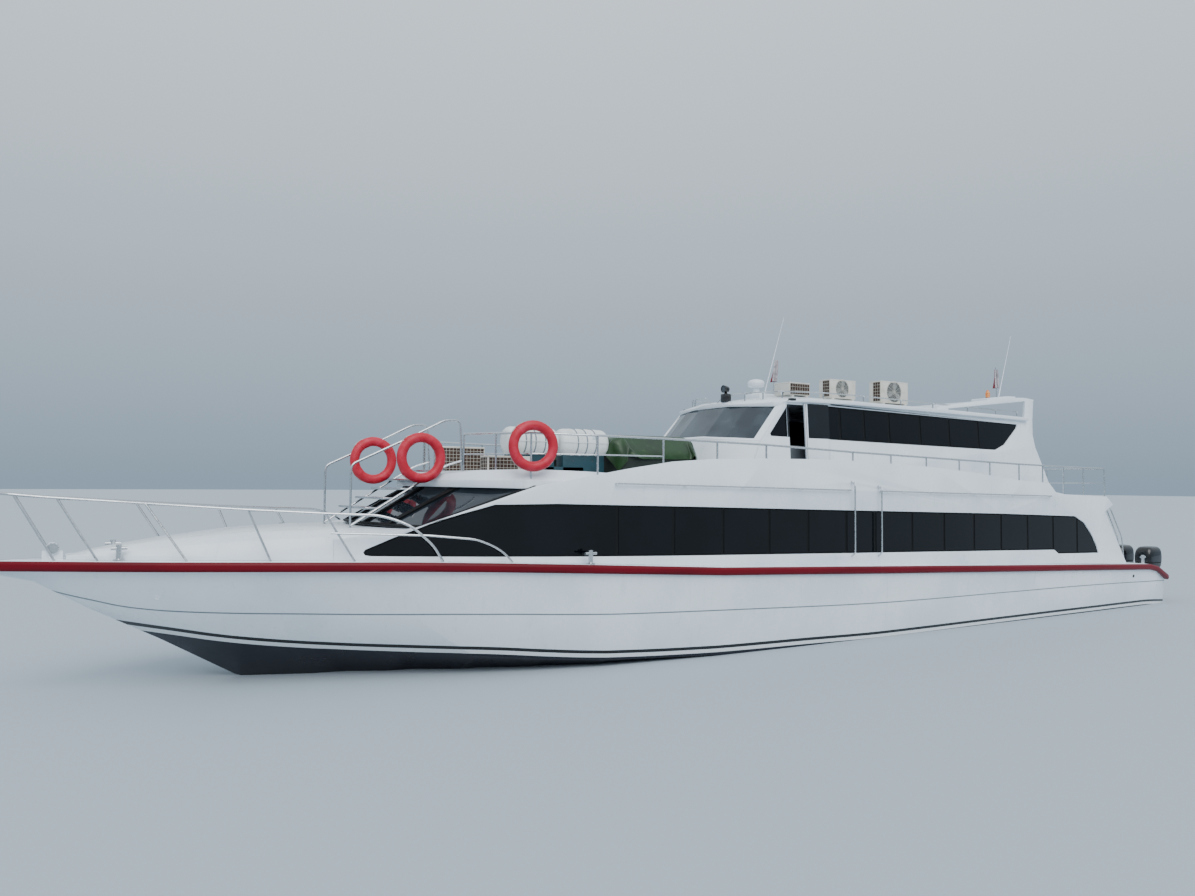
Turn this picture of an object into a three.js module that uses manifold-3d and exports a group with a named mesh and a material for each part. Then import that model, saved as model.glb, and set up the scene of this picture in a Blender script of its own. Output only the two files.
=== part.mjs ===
// A 24 m passenger ferry: decked planing hull, long saloon, wheelhouse on the roof, four outboards.
// Millimetres. +X to the bow, +Y to port, +Z up. Origin amidships, on the centreline, at the waterline.
import * as THREE from "three";
import { mergeVertices } from "three/addons/utils/BufferGeometryUtils.js";
import Module from "manifold-3d";

const wasm = await Module();
wasm.setup();

// Driving dimensions
const GAP = 0.3; // between pieces that touch
const STERN_X = -12000;
const WALL = 60; // moulded wall thickness
const GLASS = 10; // glass thickness
const PANE_IN = 25; // how far a side pane lies behind the wall's outer face
const SOLE_Z = 740; // saloon floor
const RAIL_RADIUS = 19;
const THIN_RADIUS = 12;
const CUT_THROUGH = 200; // how far a cutter runs past the faces that it cuts
const ROOT = 20; // how deep the foot of a fitting is sunk into what carries it
const LAP = 1; // how far two boxes of one solid run into each other
// How far a blank or a cutter reaches before an outline trims it
const BLANK = { inner: 1000, outer: 3000, foot: 700, top: 3400, sky: 5000 };

const BULKHEAD = {
  aftX: -9600, thick: 50, half: 2168, foot: 700, head: 2450, doorHalf: 400, doorFoot: 790, doorHead: 2180,
};
const UPPER_BULKHEAD = {
  aftX: -7340, thick: 50, half: 1700, foot: 2500, head: 4285, doorHalf: 340, doorFoot: 2665, doorHead: 4080,
};
const DOOR = { clearance: 6, thick: 40, stile: 130, topRail: 150 };
const HINGE = { radius: 12, half: 30, leaf: 15, heights: [0.2, 0.8] };
const WHEELHOUSE = { half: 1700, lean: Math.tan(THREE.MathUtils.degToRad(3.6)), footZ: 2860 };
const SIDE_DOOR = {
  fore: -270,
  aft: -700,
  sill: 2990,
  head: 4300,
  leaf: { width: 620, thick: 36, foot: 3000, head: 4330, out: 6, lap: 60 },
  light: { foot: 3690, head: 4290, fore: 70, aft: 50 },
  shoe: { half: 30, in: 90 },
};
const STAIR = { y: 120, half: 700, foot: [7450, 2190], head: [6120, 2905], treads: 5 };
const RING = { centreRadius: 308, tubeRadius: 75 };
const OUTBOARD = {
  ys: [1700, 1020, -1020, -1700],
  tiltX: -12100,
  tiltZ: 650,
  steerX: -12220,
  propZ: -560,
  propX: -12790,
};

// Materials of the real finishes
const finish = (color, roughness, metalness = 0) =>
  new THREE.MeshStandardMaterial({ color, roughness, metalness });
const GELCOAT = finish(0xe9edef, 0.3);
const RED_RUBBER = finish(0xb01020, 0.5);
const DARK_GLASS = finish(0x10151b, 0.08);
const SCREEN_GLASS = finish(0x66727d, 0.08);
const STAINLESS = finish(0xc4c8ca, 0.25, 1);
const BUOY_RED = finish(0xd23440, 0.6);
const UNIT_GREY = finish(0xd8d5ca, 0.5);
const RUSTY_GREY = finish(0x8d7c68, 0.8);
const BLACK_PAINT = finish(0x14161a, 0.3);
const CAST_ALLOY = finish(0x2b2f35, 0.5, 0.4);
const TARP = finish(0x2c6a1f, 0.8);
const SEAT_VINYL = finish(0x2b3f63, 0.6);

const root = new THREE.Group();

// Solids and meshes
function solidOf(geometry) {
  const plain = geometry.clone();
  plain.deleteAttribute("normal");
  plain.deleteAttribute("uv");
  const merged = mergeVertices(plain, 1e-3);
  const triVerts = merged.index
    ? new Uint32Array(merged.index.array)
    : new Uint32Array(merged.attributes.position.count).map((_, i) => i);
  const vertProperties = new Float32Array(merged.attributes.position.array);
  return new wasm.Manifold(new wasm.Mesh({ numProp: 3, vertProperties, triVerts }));
}

function join(solids) {
  return solids.reduce((whole, solid) => whole.add(solid));
}

function cut(solid, cutters) {
  return cutters.reduce((rest, cutter) => rest.subtract(cutter), solid);
}

function add(name, solid, material) {
  const made = solid.getMesh();
  const geometry = new THREE.BufferGeometry();
  geometry.setAttribute("position", new THREE.BufferAttribute(new Float32Array(made.vertProperties), 3));
  geometry.setIndex(new THREE.BufferAttribute(new Uint32Array(made.triVerts), 1));
  const mesh = new THREE.Mesh(geometry, material);
  mesh.name = name;
  root.add(mesh);
}

const shift = (solid, x, y, z) => solid.translate([x, y, z]);
const mirrored = (solid) => solid.mirror([0, 1, 0]);
const bothSides = (solid) => solid.add(mirrored(solid));

// A box between two corners
function box(x0, x1, y0, y1, z0, z1) {
  const geometry = new THREE.BoxGeometry(x1 - x0, y1 - y0, z1 - z0);
  return solidOf(geometry.translate((x0 + x1) / 2, (y0 + y1) / 2, (z0 + z1) / 2));
}

function extruded(points, depth) {
  const shape = new THREE.Shape(points.map(([a, b]) => new THREE.Vector2(a, b)));
  return new THREE.ExtrudeGeometry(shape, { depth, bevelEnabled: false, curveSegments: 6 });
}

// A side-view outline of (x, z) points, thick from y0 to y1
function sidePlate(points, y0, y1) {
  return solidOf(extruded(points, y1 - y0).rotateX(Math.PI / 2).translate(0, y1, 0));
}

// A plan outline of (x, y) points, from z0 up to z1
function planPlate(points, z0, z1) {
  return solidOf(extruded(points, z1 - z0).translate(0, 0, z0));
}

const span = (p, q) => new THREE.Vector3(...p).distanceTo(new THREE.Vector3(...q));

// Loops of equal point counts, skinned over their shorter diagonals and closed at both ends
function loft(loops) {
  const count = loops[0].length;
  const index = [];
  for (let s = 0; s < loops.length - 1; s++)
    for (let i = 0; i < count; i++) {
      const j = (i + 1) % count;
      const [a, b] = [s * count + i, s * count + j];
      const [c, d] = [b + count, a + count];
      const rising = span(loops[s][i], loops[s + 1][j]);
      if (rising <= span(loops[s][j], loops[s + 1][i])) index.push(a, b, c, a, c, d);
      else index.push(a, b, d, b, c, d);
    }
  const last = (loops.length - 1) * count;
  for (let i = 1; i < count - 1; i++) {
    index.push(0, i + 1, i);
    index.push(last, last + i, last + i + 1);
  }
  const geometry = new THREE.BufferGeometry();
  geometry.setAttribute("position", new THREE.Float32BufferAttribute(loops.flat(2), 3));
  geometry.setIndex(index);
  const solid = solidOf(geometry);
  if (solid.volume() > 0) return solid;
  geometry.setIndex(index.reverse());
  return solidOf(geometry);
}

// A straight bar between two points
function rod(from, to, radius, sides = 6) {
  const a = new THREE.Vector3(...from);
  const b = new THREE.Vector3(...to);
  const geometry = new THREE.CylinderGeometry(radius, radius, a.distanceTo(b), sides);
  const turn = new THREE.Quaternion().setFromUnitVectors(
    new THREE.Vector3(0, 1, 0),
    b.clone().sub(a).normalize(),
  );
  geometry.applyQuaternion(turn);
  const middle = a.add(b).multiplyScalar(0.5);
  return solidOf(geometry.translate(middle.x, middle.y, middle.z));
}

// A round bar bent through a path of points, mitred at each bend
function pipe(points, radius, sides = 6) {
  const path = points.map((p) => new THREE.Vector3(...p));
  const runs = path.slice(1).map((p, i) => p.clone().sub(path[i]).normalize());
  const turn = new THREE.Quaternion().setFromUnitVectors(new THREE.Vector3(0, 0, 1), runs[0]);
  let ring = Array.from({ length: sides }, (_, i) => {
    const angle = ((i + 0.5) * 2 * Math.PI) / sides;
    const spoke = new THREE.Vector3(radius * Math.cos(angle), radius * Math.sin(angle), 0);
    return spoke.applyQuaternion(turn).add(path[0]);
  });
  const rings = [ring];
  runs.forEach((run, i) => {
    const mitre = i + 1 < runs.length ? run.clone().add(runs[i + 1]) : run;
    const reach = (p) => path[i + 1].clone().sub(p).dot(mitre) / run.dot(mitre);
    ring = ring.map((p) => p.clone().addScaledVector(run, reach(p)));
    rings.push(ring);
  });
  return loft(rings.map((points) => points.map((p) => p.toArray())));
}

// Straight-line value of a table of [x, value] rows that run from the stern forwards
function along(table, x) {
  const next = table.findIndex((row) => row[0] > x);
  const i = next < 0 ? table.length - 1 : Math.max(1, next);
  const [[x0, v0], [x1, v1]] = [table[i - 1], table[i]];
  return v0 + ((v1 - v0) * (x - x0)) / (x1 - x0);
}

// Hull: one row for each section, the half-breadths and heights of its corners.
// Columns: x, keel z, chine y, chine z, knuckle y, knuckle z, deck edge y, deck edge z
const SECTIONS = [
  [-12000, -430, 2260, -40, 2310, 546, 2370, 700],
  [-11500, -450, 2280, -45, 2340, 570, 2400, 920],
  [-11100, -470, 2290, -50, 2365, 590, 2430, 985],
  [-9000, -540, 2320, -60, 2410, 609, 2480, 1071],
  [-6000, -620, 2330, -60, 2420, 627, 2500, 1173],
  [-2000, -680, 2330, -40, 2420, 646, 2500, 1310],
  [2000, -700, 2270, 20, 2410, 764, 2500, 1467],
  [4000, -700, 2120, 110, 2320, 828, 2430, 1576],
  [5000, -680, 1930, 190, 2180, 874, 2330, 1626],
  [6000, -620, 1670, 280, 1990, 922, 2180, 1670],
  [7000, -500, 1280, 380, 1690, 953, 1970, 1703],
  [8000, -330, 900, 480, 1340, 981, 1700, 1723],
  [9000, 30, 540, 610, 960, 1002, 1370, 1737],
  [10000, 620, 240, 830, 580, 1070, 980, 1747],
  [10900, 1110, 60, 1150, 200, 1240, 580, 1757],
  [11500, 1480, 25, 1495, 70, 1545, 300, 1765],
  [11950, 1590, 10, 1600, 20, 1615, 60, 1768],
];
const DECK_EDGE = SECTIONS.map((row) => [row[0], row[7]]);
const deckZ = (x) => along(DECK_EDGE, x);

const WELL_PLAN = [
  [-11250, -1700], [-9650, -1700], [-9650, -1930], [3800, -1930], [6300, -1300],
  [6300, 1300], [3800, 1930], [-9650, 1930], [-9650, 1700], [-11250, 1700],
];

// Height of the strake, and where its foot lies on a section of the hull
const STRAKE = { high: 130, proud: 55, shoulder: 33, bevel: 35, noseX: 12000, noseHalf: 35 };
function strakeFoot([, , , , kneeY, kneeZ, edgeY, edgeZ]) {
  const z = edgeZ - STRAKE.high;
  return [kneeY + ((edgeY - kneeY) * (z - kneeZ)) / (edgeZ - kneeZ), z];
}

function hullLoop(row) {
  const [x, keel, chineY, chineZ, kneeY, kneeZ, edgeY, edgeZ] = row;
  const side = [[chineY, chineZ], [kneeY, kneeZ], strakeFoot(row), [edgeY, edgeZ]];
  const port = side.map(([y, z]) => [x, y, z]);
  const starboard = side.map(([y, z]) => [x, -y, z]).reverse();
  return [[x, 0, keel], ...port, ...starboard];
}
const hullShape = loft(SECTIONS.map(hullLoop));
const hull = cut(hullShape, [planPlate(WELL_PLAN, SOLE_Z, BLANK.top)]);
const hullCutter = shift(hull, 0, 0, GAP);

// Mooring bitts bolted to the side decks, and the anchor windlass on the foredeck
// Columns: x, y
const BITTS = [[4400, 2310], [-11250, 2200], [10560, 560]];
const BITT = { flange: 70, thick: 20, post: 34, high: 215, barHalf: 95, barZ: 165, bar: 22 };
function bitt(x, y) {
  const z = deckZ(x);
  return join([
    rod([x, y, z - ROOT], [x, y, z + BITT.thick], BITT.flange, 8),
    rod([x, y, z], [x, y, z + BITT.high], BITT.post),
    rod([x - BITT.barHalf, y, z + BITT.barZ], [x + BITT.barHalf, y, z + BITT.barZ], BITT.bar),
  ]);
}
const WINDLASS = { x: 11300, long: 240, half: 110, barrelHalf: 150, barrel: 75, above: 150 };
const windlassDeck = deckZ(WINDLASS.x);
const barrelZ = windlassDeck + WINDLASS.above;
const windlass = join([
  box(
    WINDLASS.x - WINDLASS.long / 2,
    WINDLASS.x + WINDLASS.long / 2,
    -WINDLASS.half,
    WINDLASS.half,
    windlassDeck - ROOT,
    barrelZ - WINDLASS.barrel / 2,
  ),
  rod(
    [WINDLASS.x, -WINDLASS.barrelHalf, barrelZ],
    [WINDLASS.x, WINDLASS.barrelHalf, barrelZ],
    WINDLASS.barrel,
    10,
  ),
]);
const deckGear = [windlass, ...BITTS.flatMap(([x, y]) => [bitt(x, y), bitt(x, -y)])];
add("hull", join([hull, ...deckGear]), GELCOAT);

// Rubbing strake: a moulding along the deck edge on each side, closed round the bow
function strakeLoop(row) {
  const [x, edgeY, edgeZ] = [row[0], row[6], row[7]];
  const [footY, footZ] = strakeFoot(row);
  return [
    [x, edgeY + GAP, edgeZ],
    [x, edgeY + STRAKE.shoulder, edgeZ],
    [x, edgeY + STRAKE.proud, edgeZ - STRAKE.bevel],
    [x, edgeY + STRAKE.proud, footZ + STRAKE.bevel],
    [x, edgeY + STRAKE.shoulder, footZ],
    [x, footY + GAP, footZ],
  ];
}
const noseLoop = strakeLoop(SECTIONS[SECTIONS.length - 1]).map(([, , z], i) => [
  STRAKE.noseX,
  i > 0 && i < 5 ? STRAKE.noseHalf : -GAP,
  z,
]);
add("rub_rail", bothSides(loft([...SECTIONS.map(strakeLoop), noseLoop])), RED_RUBBER);

// Saloon walls: a strip in plan, cut to the side outline
// Columns: x, outer half-breadth
const WALL_LINE = [
  [-10700, 2220], [-9000, 2240], [2000, 2250], [3000, 2230], [4000, 2180],
  [5000, 2080], [6000, 1930], [7000, 1720], [8000, 1450],
];
const wallY = (x) => along(WALL_LINE, x);
const SIDE_OUTLINE = [
  [8000, 1500], [8000, 2010], [6910, 2170], [5190, 2760], [4660, 2860], [3600, 3050], [2800, 3170],
  [1970, 3230], [850, 3260], [-360, 3270], [-1500, 3260], [-3500, 3180], [-4900, 3080], [-6430, 2930],
  [-7400, 2890], [-7650, 2690], [-8000, 2640], [-9670, 2590], [-9950, 2400], [-9600, 2240], [-10500, 1000],
  [-10500, 900], [-6000, 900], [6000, 1400],
];
const SIDE_WINDOW = [
  [7530, 1777], [7600, 1792], [7625, 1830], [7600, 1868], [7230, 2030], [6600, 2270], [5820, 2490],
  [4850, 2500], [2250, 2440], [-1200, 2350], [-5650, 2240], [-8370, 2150], [-8730, 2000], [-9000, 1750],
  [-9200, 1500], [-9300, 1300], [-7720, 1335], [-7560, 1425], [-5600, 1470], [-1170, 1570], [2300, 1650],
  [4810, 1710],
];

function planStrip(line, outer, inner) {
  const out = line.map(([x, y]) => [x, y - outer]);
  const back = line.map(([x, y]) => [x, y - inner]).reverse();
  return [...out, ...back];
}

const sidePanel = (outline) => sidePlate(outline, BLANK.inner, BLANK.outer);
const wallStrip = (outer, inner) => planPlate(planStrip(WALL_LINE, outer, inner), BLANK.foot, BLANK.top);
const sideWall = wallStrip(0, WALL).intersect(sidePanel(SIDE_OUTLINE));
const sidePort = cut(sideWall, [sidePanel(SIDE_WINDOW), hullCutter]);

// Handrails along the saloon side and two upright grabs amidships, all on stand-offs from the wall
const HAND = { out: 52, runs: [[3880, 2600, 1380, 70, -1160], [-1990, -3400, -4780, -6080, -7400]] };
const HAND_LINE = [[-7400, 2603], [3880, 2812]];
const handAt = (x, out) => [x, wallY(x) + out, along(HAND_LINE, x)];
const GRAB = { out: 90, radius: 15, bend: 60 };
// Columns: x, foot z, head z
const GRABS = [[-1225, 1510, 2880], [-1935, 1490, 2800]];
const grabs = GRABS.flatMap(([x, foot, head]) => {
  const at = (out, z) => [x, wallY(x) + out, z];
  return [
    pipe([at(-ROOT, foot), at(GRAB.out, foot + GRAB.bend), at(GRAB.out, head)], GRAB.radius),
    rod(at(-ROOT, head - GRAB.radius), at(GRAB.out, head - GRAB.radius), THIN_RADIUS),
  ];
});
const handrails = join([
  ...HAND.runs.map((xs) => pipe(xs.map((x) => handAt(x, HAND.out)), THIN_RADIUS)),
  ...HAND.runs.flat().map((x) => rod(handAt(x, -ROOT), handAt(x, HAND.out), THIN_RADIUS)),
  ...grabs,
]);
const sideWithRails = sidePort.add(handrails);
add("cabin_side_port", sideWithRails, GELCOAT);
add("cabin_side_starboard", mirrored(sideWithRails), GELCOAT);

// An outline moved inwards by a distance
function inset(points, distance) {
  const side = Math.sign(THREE.ShapeUtils.area(points.map(([a, b]) => new THREE.Vector2(a, b))));
  const inward = (p, q) => new THREE.Vector2(p[1] - q[1], q[0] - p[0]).normalize().multiplyScalar(side);
  return points.map((p, i) => {
    const before = points[(i + points.length - 1) % points.length];
    const after = points[(i + 1) % points.length];
    const corner = inward(before, p).add(inward(p, after));
    const reach = (2 * distance) / Math.max(corner.lengthSq(), 0.5);
    return [p[0] + corner.x * reach, p[1] + corner.y * reach];
  });
}

const sideGlass = wallStrip(PANE_IN, PANE_IN + GLASS).intersect(sidePanel(inset(SIDE_WINDOW, GAP)));
add("cabin_glass_port", sideGlass, DARK_GLASS);
add("cabin_glass_starboard", mirrored(sideGlass), DARK_GLASS);

// Foredeck trunk: the raised deck ahead of the saloon
// Columns: x, foot half-breadth, shoulder half-breadth, shoulder z, crown half-breadth, crown z
const TRUNK = [
  [6900, 1740, 1660, 2060, 1420, 2140],
  [8000, 1450, 1370, 2040, 1120, 2140],
  [9000, 1120, 1040, 2010, 800, 2110],
  [10000, 720, 650, 1930, 440, 2010],
  [10800, 380, 320, 1850, 200, 1890],
  [11150, 180, 150, 1800, 90, 1810],
];
const COAMING = { foot: 1600, high: 60 };
const trunkShape = loft(
  TRUNK.map(([x, footY, shoulderY, shoulderZ, crownY, crownZ]) => [
    [x, footY, COAMING.foot],
    [x, footY, deckZ(x) + COAMING.high],
    [x, shoulderY, shoulderZ],
    [x, crownY, crownZ],
    [x, -crownY, crownZ],
    [x, -shoulderY, shoulderZ],
    [x, -footY, deckZ(x) + COAMING.high],
    [x, -footY, COAMING.foot],
  ]),
);
const wallRoom = bothSides(wallStrip(-2 * CUT_THROUGH, WALL + GAP));
const trunk = cut(trunkShape, [hullCutter, wallRoom]);
add("foredeck_trunk", trunk, GELCOAT);

// Saloon roof: the upper deck, its rounded brow ahead of the windscreen
const ROOF_PROFILE = [
  [6480, 2745], [6440, 2820], [6250, 2930], [5800, 3000], [5200, 3020], [4300, 2995], [3000, 2930],
  [0, 2850], [-5000, 2740], [-9650, 2585], [-9930, 2420], [-9800, 2385], [-9560, 2380], [0, 2600],
  [5600, 2730],
];
const ROOF_PLAN_HALF = [
  [6480, 0], [6420, 600], [6150, 1150], [5750, 1600], [5300, 1960], [4660, 2055], [4000, 2110],
  [3000, 2165], [2000, 2186], [-9000, 2176], [-9960, 2168], [-9960, 0],
];
const roofPlan = [...ROOF_PLAN_HALF, ...ROOF_PLAN_HALF.slice(1, -1).reverse().map(([x, y]) => [x, -y])];
const ROOF_SHOULDER = { foot: 2000, z: 2850, top: 3050, inward: 150 };
const roofOutline = loft([
  roofPlan.map(([x, y]) => [x, y, ROOF_SHOULDER.foot]),
  roofPlan.map(([x, y]) => [x, y, ROOF_SHOULDER.z]),
  inset(roofPlan, ROOF_SHOULDER.inward).map(([x, y]) => [x, y, ROOF_SHOULDER.top]),
]);
const roofSlab = sidePlate(ROOF_PROFILE, -BLANK.outer, BLANK.outer);
const mainRoof = cut(roofSlab.intersect(roofOutline), [wallRoom]);
add("main_roof", mainRoof, GELCOAT);
const roofCutter = shift(mainRoof, 0, 0, GAP);
const roofBelow = shift(mainRoof, 0, 0, -GAP).add(shift(mainRoof, GAP, 0, 0));

// Panels between two rails of points: a frame with the panes cut out, and the sheet bonded behind it
function bilinear(a, b, c, d, u, v) {
  return a.map((_, k) => (1 - v) * ((1 - u) * a[k] + u * b[k]) + v * ((1 - u) * d[k] + u * c[k]));
}

function slab(corners, front, back) {
  const [a, b, c, d] = corners.map((p) => new THREE.Vector3(...p));
  const normal = c.clone().sub(a).cross(d.clone().sub(b)).normalize();
  const layer = (offset) => [a, b, c, d].map((p) => p.clone().addScaledVector(normal, offset).toArray());
  return loft([layer(back), layer(front)]);
}

function facets(lower, upper) {
  return lower.slice(1).map((_, i) => [lower[i], lower[i + 1], upper[i + 1], upper[i]]);
}

// A sheet over all the facets, with its corners on shared normals so that it stays one closed shell
function sheet(lower, upper, front, back) {
  const normals = facets(lower, upper).map(([a, b, c, d]) => {
    const [p, q, r, t] = [a, b, c, d].map((v) => new THREE.Vector3(...v));
    return r.sub(p).cross(t.sub(q)).normalize();
  });
  const cornerNormal = (i) => {
    const near = [normals[Math.max(0, i - 1)], normals[Math.min(normals.length - 1, i)]];
    return near[0].clone().add(near[1]).normalize();
  };
  const at = (p, i, offset) => new THREE.Vector3(...p).addScaledVector(cornerNormal(i), offset).toArray();
  return loft(
    lower.map((p, i) => [at(p, i, back), at(p, i, front), at(upper[i], i, front), at(upper[i], i, back)]),
  );
}

function paneHoles(lower, upper, rim) {
  return facets(lower, upper).map((quad) => {
    const u = rim / span(quad[0], quad[1]);
    const v = rim / span(quad[0], quad[3]);
    const shares = [[u, v], [1 - u, v], [1 - u, 1 - v], [u, 1 - v]];
    return slab(shares.map(([i, j]) => bilinear(...quad, i, j)), CUT_THROUGH, -CUT_THROUGH);
  });
}

// Saloon windscreen: raked back from the trunk to the brow, its corners swept to the side walls
// Columns: x, y, z
const SCREEN_FOOT = [
  [6840, -1640, 2150], [7160, -1050, 2165], [7290, -360, 2170],
  [7290, 360, 2170], [7160, 1050, 2165], [6840, 1640, 2150],
];
const SCREEN_HEAD = [
  [5160, -1990, 2752], [6020, -1110, 2760], [6280, -370, 2765],
  [6280, 370, 2765], [6020, 1110, 2760], [5160, 1990, 2752],
];
const SCREEN = { thick: 25, rim: 45 };
const screenCutters = [shift(trunk, 0, 0, GAP), roofBelow, wallRoom];
const screenPanes = paneHoles(SCREEN_FOOT, SCREEN_HEAD, SCREEN.rim);
const screenFrame = cut(sheet(SCREEN_FOOT, SCREEN_HEAD, SCREEN.thick, 0), screenPanes);
add("windscreen_frame", cut(screenFrame, screenCutters), GELCOAT);
add("windscreen_glass", cut(sheet(SCREEN_FOOT, SCREEN_HEAD, -GAP, -GLASS), screenCutters), SCREEN_GLASS);

// Bulkheads and their doors: a leaf flush in its doorway, hung on two lift-off hinges at its starboard edge
function hinges({ aftX, doorHalf, doorFoot, doorHead }) {
  const x = aftX - HINGE.radius - GAP;
  const y = -doorHalf + DOOR.clearance / 2;
  const barrels = (side, below, above) =>
    HINGE.heights.map((share) => {
      const z = doorFoot + (doorHead - doorFoot) * share;
      const edge = y + (side * DOOR.clearance) / 2;
      const [y0, y1] = [edge, edge + side * HINGE.leaf].sort((a, b) => a - b);
      return rod([x, y, z + below], [x, y, z + above], HINGE.radius, 12).add(
        box(x, aftX + ROOT, y0, y1, z + below, z + above),
      );
    });
  return { fixed: join(barrels(-1, -HINGE.half, -GAP)), moving: join(barrels(1, 0, HINGE.half)) };
}

function doorway({ aftX, thick, doorHalf, doorFoot, doorHead }) {
  return box(aftX - CUT_THROUGH, aftX + thick + CUT_THROUGH, -doorHalf, doorHalf, doorFoot, doorHead);
}

function doorLeaf(place) {
  const { aftX, doorHalf, doorFoot, doorHead } = place;
  const edge = doorHalf - DOOR.clearance;
  const [foot, head] = [doorFoot + DOOR.clearance, doorHead - DOOR.clearance];
  const leaf = box(aftX, aftX + DOOR.thick, -edge, edge, foot, head);
  const light = doorway({
    ...place,
    doorHalf: edge - DOOR.stile,
    doorFoot: (doorFoot + doorHead) / 2,
    doorHead: doorHead - DOOR.topRail,
  });
  return leaf.subtract(light).add(hinges(place).moving);
}

function bulkhead(place, cutters) {
  const { aftX, thick, half, foot, head } = place;
  const panel = box(aftX, aftX + thick, -half, half, foot, head);
  return cut(panel, [...cutters, doorway(place)]).add(hinges(place).fixed);
}
add("aft_bulkhead", bulkhead(BULKHEAD, [hullCutter, roofBelow, wallRoom]), GELCOAT);
add("aft_door", doorLeaf(BULKHEAD), GELCOAT);

// Wheelhouse sides: flat panels that lean in; at the stern a strut and an arm carry the wing
const HOUSE_SIDE = [
  [745, 2850], [560, 3300], [415, 3600], [-200, 4300], [-270, 4360], [-4400, 4372], [-4570, 4470],
  [-6070, 4682], [-7340, 4815], [-7620, 4820], [-7900, 4795], [-7878, 4760], [-7797, 4332], [-7768, 3988],
  [-7833, 3705], [-8017, 3366], [-8343, 2737], [-8420, 2620], [-5000, 2700], [0, 2800],
];
const FIN_OPENING = [[-4850, 4445], [-7560, 4745], [-7500, 4315], [-4850, 4350]];
const HOUSE_WINDOW = [
  [-880, 3680], [-880, 4320], [-6700, 4210], [-7210, 4200], [-7170, 4110], [-6700, 3730], [-6370, 3605],
];
const QUARTER_WINDOW = [[205, 3740], [185, 3695], [-235, 3690], [-235, 4260]];
const oblong = (x0, x1, z0, z1) => [[x0, z0], [x0, z1], [x1, z1], [x1, z0]];
const sideDoorway = oblong(SIDE_DOOR.fore, SIDE_DOOR.aft, SIDE_DOOR.sill, SIDE_DOOR.head);

function leaned(solid) {
  const { lean, footZ, half } = WHEELHOUSE;
  return solid.transform([1, 0, 0, 0, 0, 1, 0, 0, 0, -lean, 1, 0, 0, half + lean * footZ, 0, 1]);
}
const TRACK = { fore: -200, aft: -1330, out: 44, low: [2976, 2994], high: [4336, 4354] };
const tracks = [TRACK.low, TRACK.high].map(([z0, z1]) =>
  sidePlate(oblong(TRACK.fore, TRACK.aft, z0, z1), -LAP, TRACK.out),
);
const sideOpenings = [HOUSE_WINDOW, QUARTER_WINDOW, FIN_OPENING, sideDoorway].map((outline) =>
  leaned(sidePlate(outline, -CUT_THROUGH, CUT_THROUGH)),
);
const housePanel = cut(leaned(sidePlate(HOUSE_SIDE, -WALL, 0)), [roofCutter, ...sideOpenings]);
const houseSide = housePanel.add(leaned(join(tracks)));
add("wheelhouse_side_port", houseSide, GELCOAT);
add("wheelhouse_side_starboard", mirrored(houseSide), GELCOAT);

[["wheelhouse_glass", HOUSE_WINDOW], ["quarter_glass", QUARTER_WINDOW]].forEach(([name, outline]) => {
  const pane = leaned(sidePlate(inset(outline, GAP), -PANE_IN - GLASS, -PANE_IN));
  add(`${name}_port`, pane, DARK_GLASS);
  add(`${name}_starboard`, mirrored(pane), DARK_GLASS);
});

// Sliding side doors, outside the wall and drawn aft, with shoes at foot and head that run on the tracks
const { leaf, light, shoe } = SIDE_DOOR;
const leafFore = SIDE_DOOR.aft + leaf.lap;
const leafAft = leafFore - leaf.width;
const leafPlate = (outline) => leaned(sidePlate(outline, leaf.out, leaf.out + leaf.thick));
const shoes = [leafFore - shoe.in, leafAft + shoe.in].flatMap((x) =>
  [[TRACK.low[1] + GAP, leaf.foot + LAP], [leaf.head - LAP, TRACK.high[0] - GAP]].map(([z0, z1]) =>
    leafPlate(oblong(x + shoe.half, x - shoe.half, z0, z1)),
  ),
);
const leafLight = oblong(leafFore - light.fore, leafAft + light.aft, light.foot, light.head);
const sideLeaf = leafPlate(oblong(leafFore, leafAft, leaf.foot, leaf.head))
  .subtract(leaned(sidePlate(leafLight, -CUT_THROUGH, CUT_THROUGH)))
  .add(join(shoes));
add("wheelhouse_door_port", sideLeaf, GELCOAT);
add("wheelhouse_door_starboard", mirrored(sideLeaf), GELCOAT);

// Wheelhouse front: panes above, a plain moulded front below
// Columns: x, y, z
const across = ([x, y, z]) => [x, -y, z];
const frontLine = (half) => [...half.map(across), ...[...half].reverse()];
const HOUSE_SILL = frontLine([[385, 1600, 3590], [555, 1350, 3600], [700, 950, 3625], [785, 420, 3660]]);
const HOUSE_BROW = frontLine([[-245, 1560, 4300], [-70, 1320, 4315], [70, 940, 4345], [150, 400, 4375]]);
const HOUSE_FOOT = frontLine([[720, 1640, 2800], [900, 1380, 2800], [1050, 960, 2800], [1130, 430, 2800]]);
const SHIELD = { thick: 25, rim: 50, post: 150 };

// One hole over all the facets, a rim inside their edges and a post's width inside their ends
function screenHole(lower, upper, { rim, post }) {
  const last = lower.length - 1;
  const inwards = (p, towards, width) => {
    const share = width / span(p, towards);
    return p.map((value, k) => value + (towards[k] - value) * share);
  };
  const sideways = (rail) => {
    const ends = [inwards(rail[0], rail[1], post), inwards(rail[last], rail[last - 1], post)];
    return [ends[0], ...rail.slice(1, last), ends[1]];
  };
  const [low, high] = [sideways(lower), sideways(upper)];
  return sheet(
    low.map((p, i) => inwards(p, high[i], rim)),
    high.map((p, i) => inwards(p, low[i], rim)),
    CUT_THROUGH,
    -CUT_THROUGH,
  );
}
const screenOpening = screenHole(HOUSE_SILL, HOUSE_BROW, SHIELD);
const shieldFrame = cut(sheet(HOUSE_SILL, HOUSE_BROW, SHIELD.thick, 0), [screenOpening]);
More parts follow.
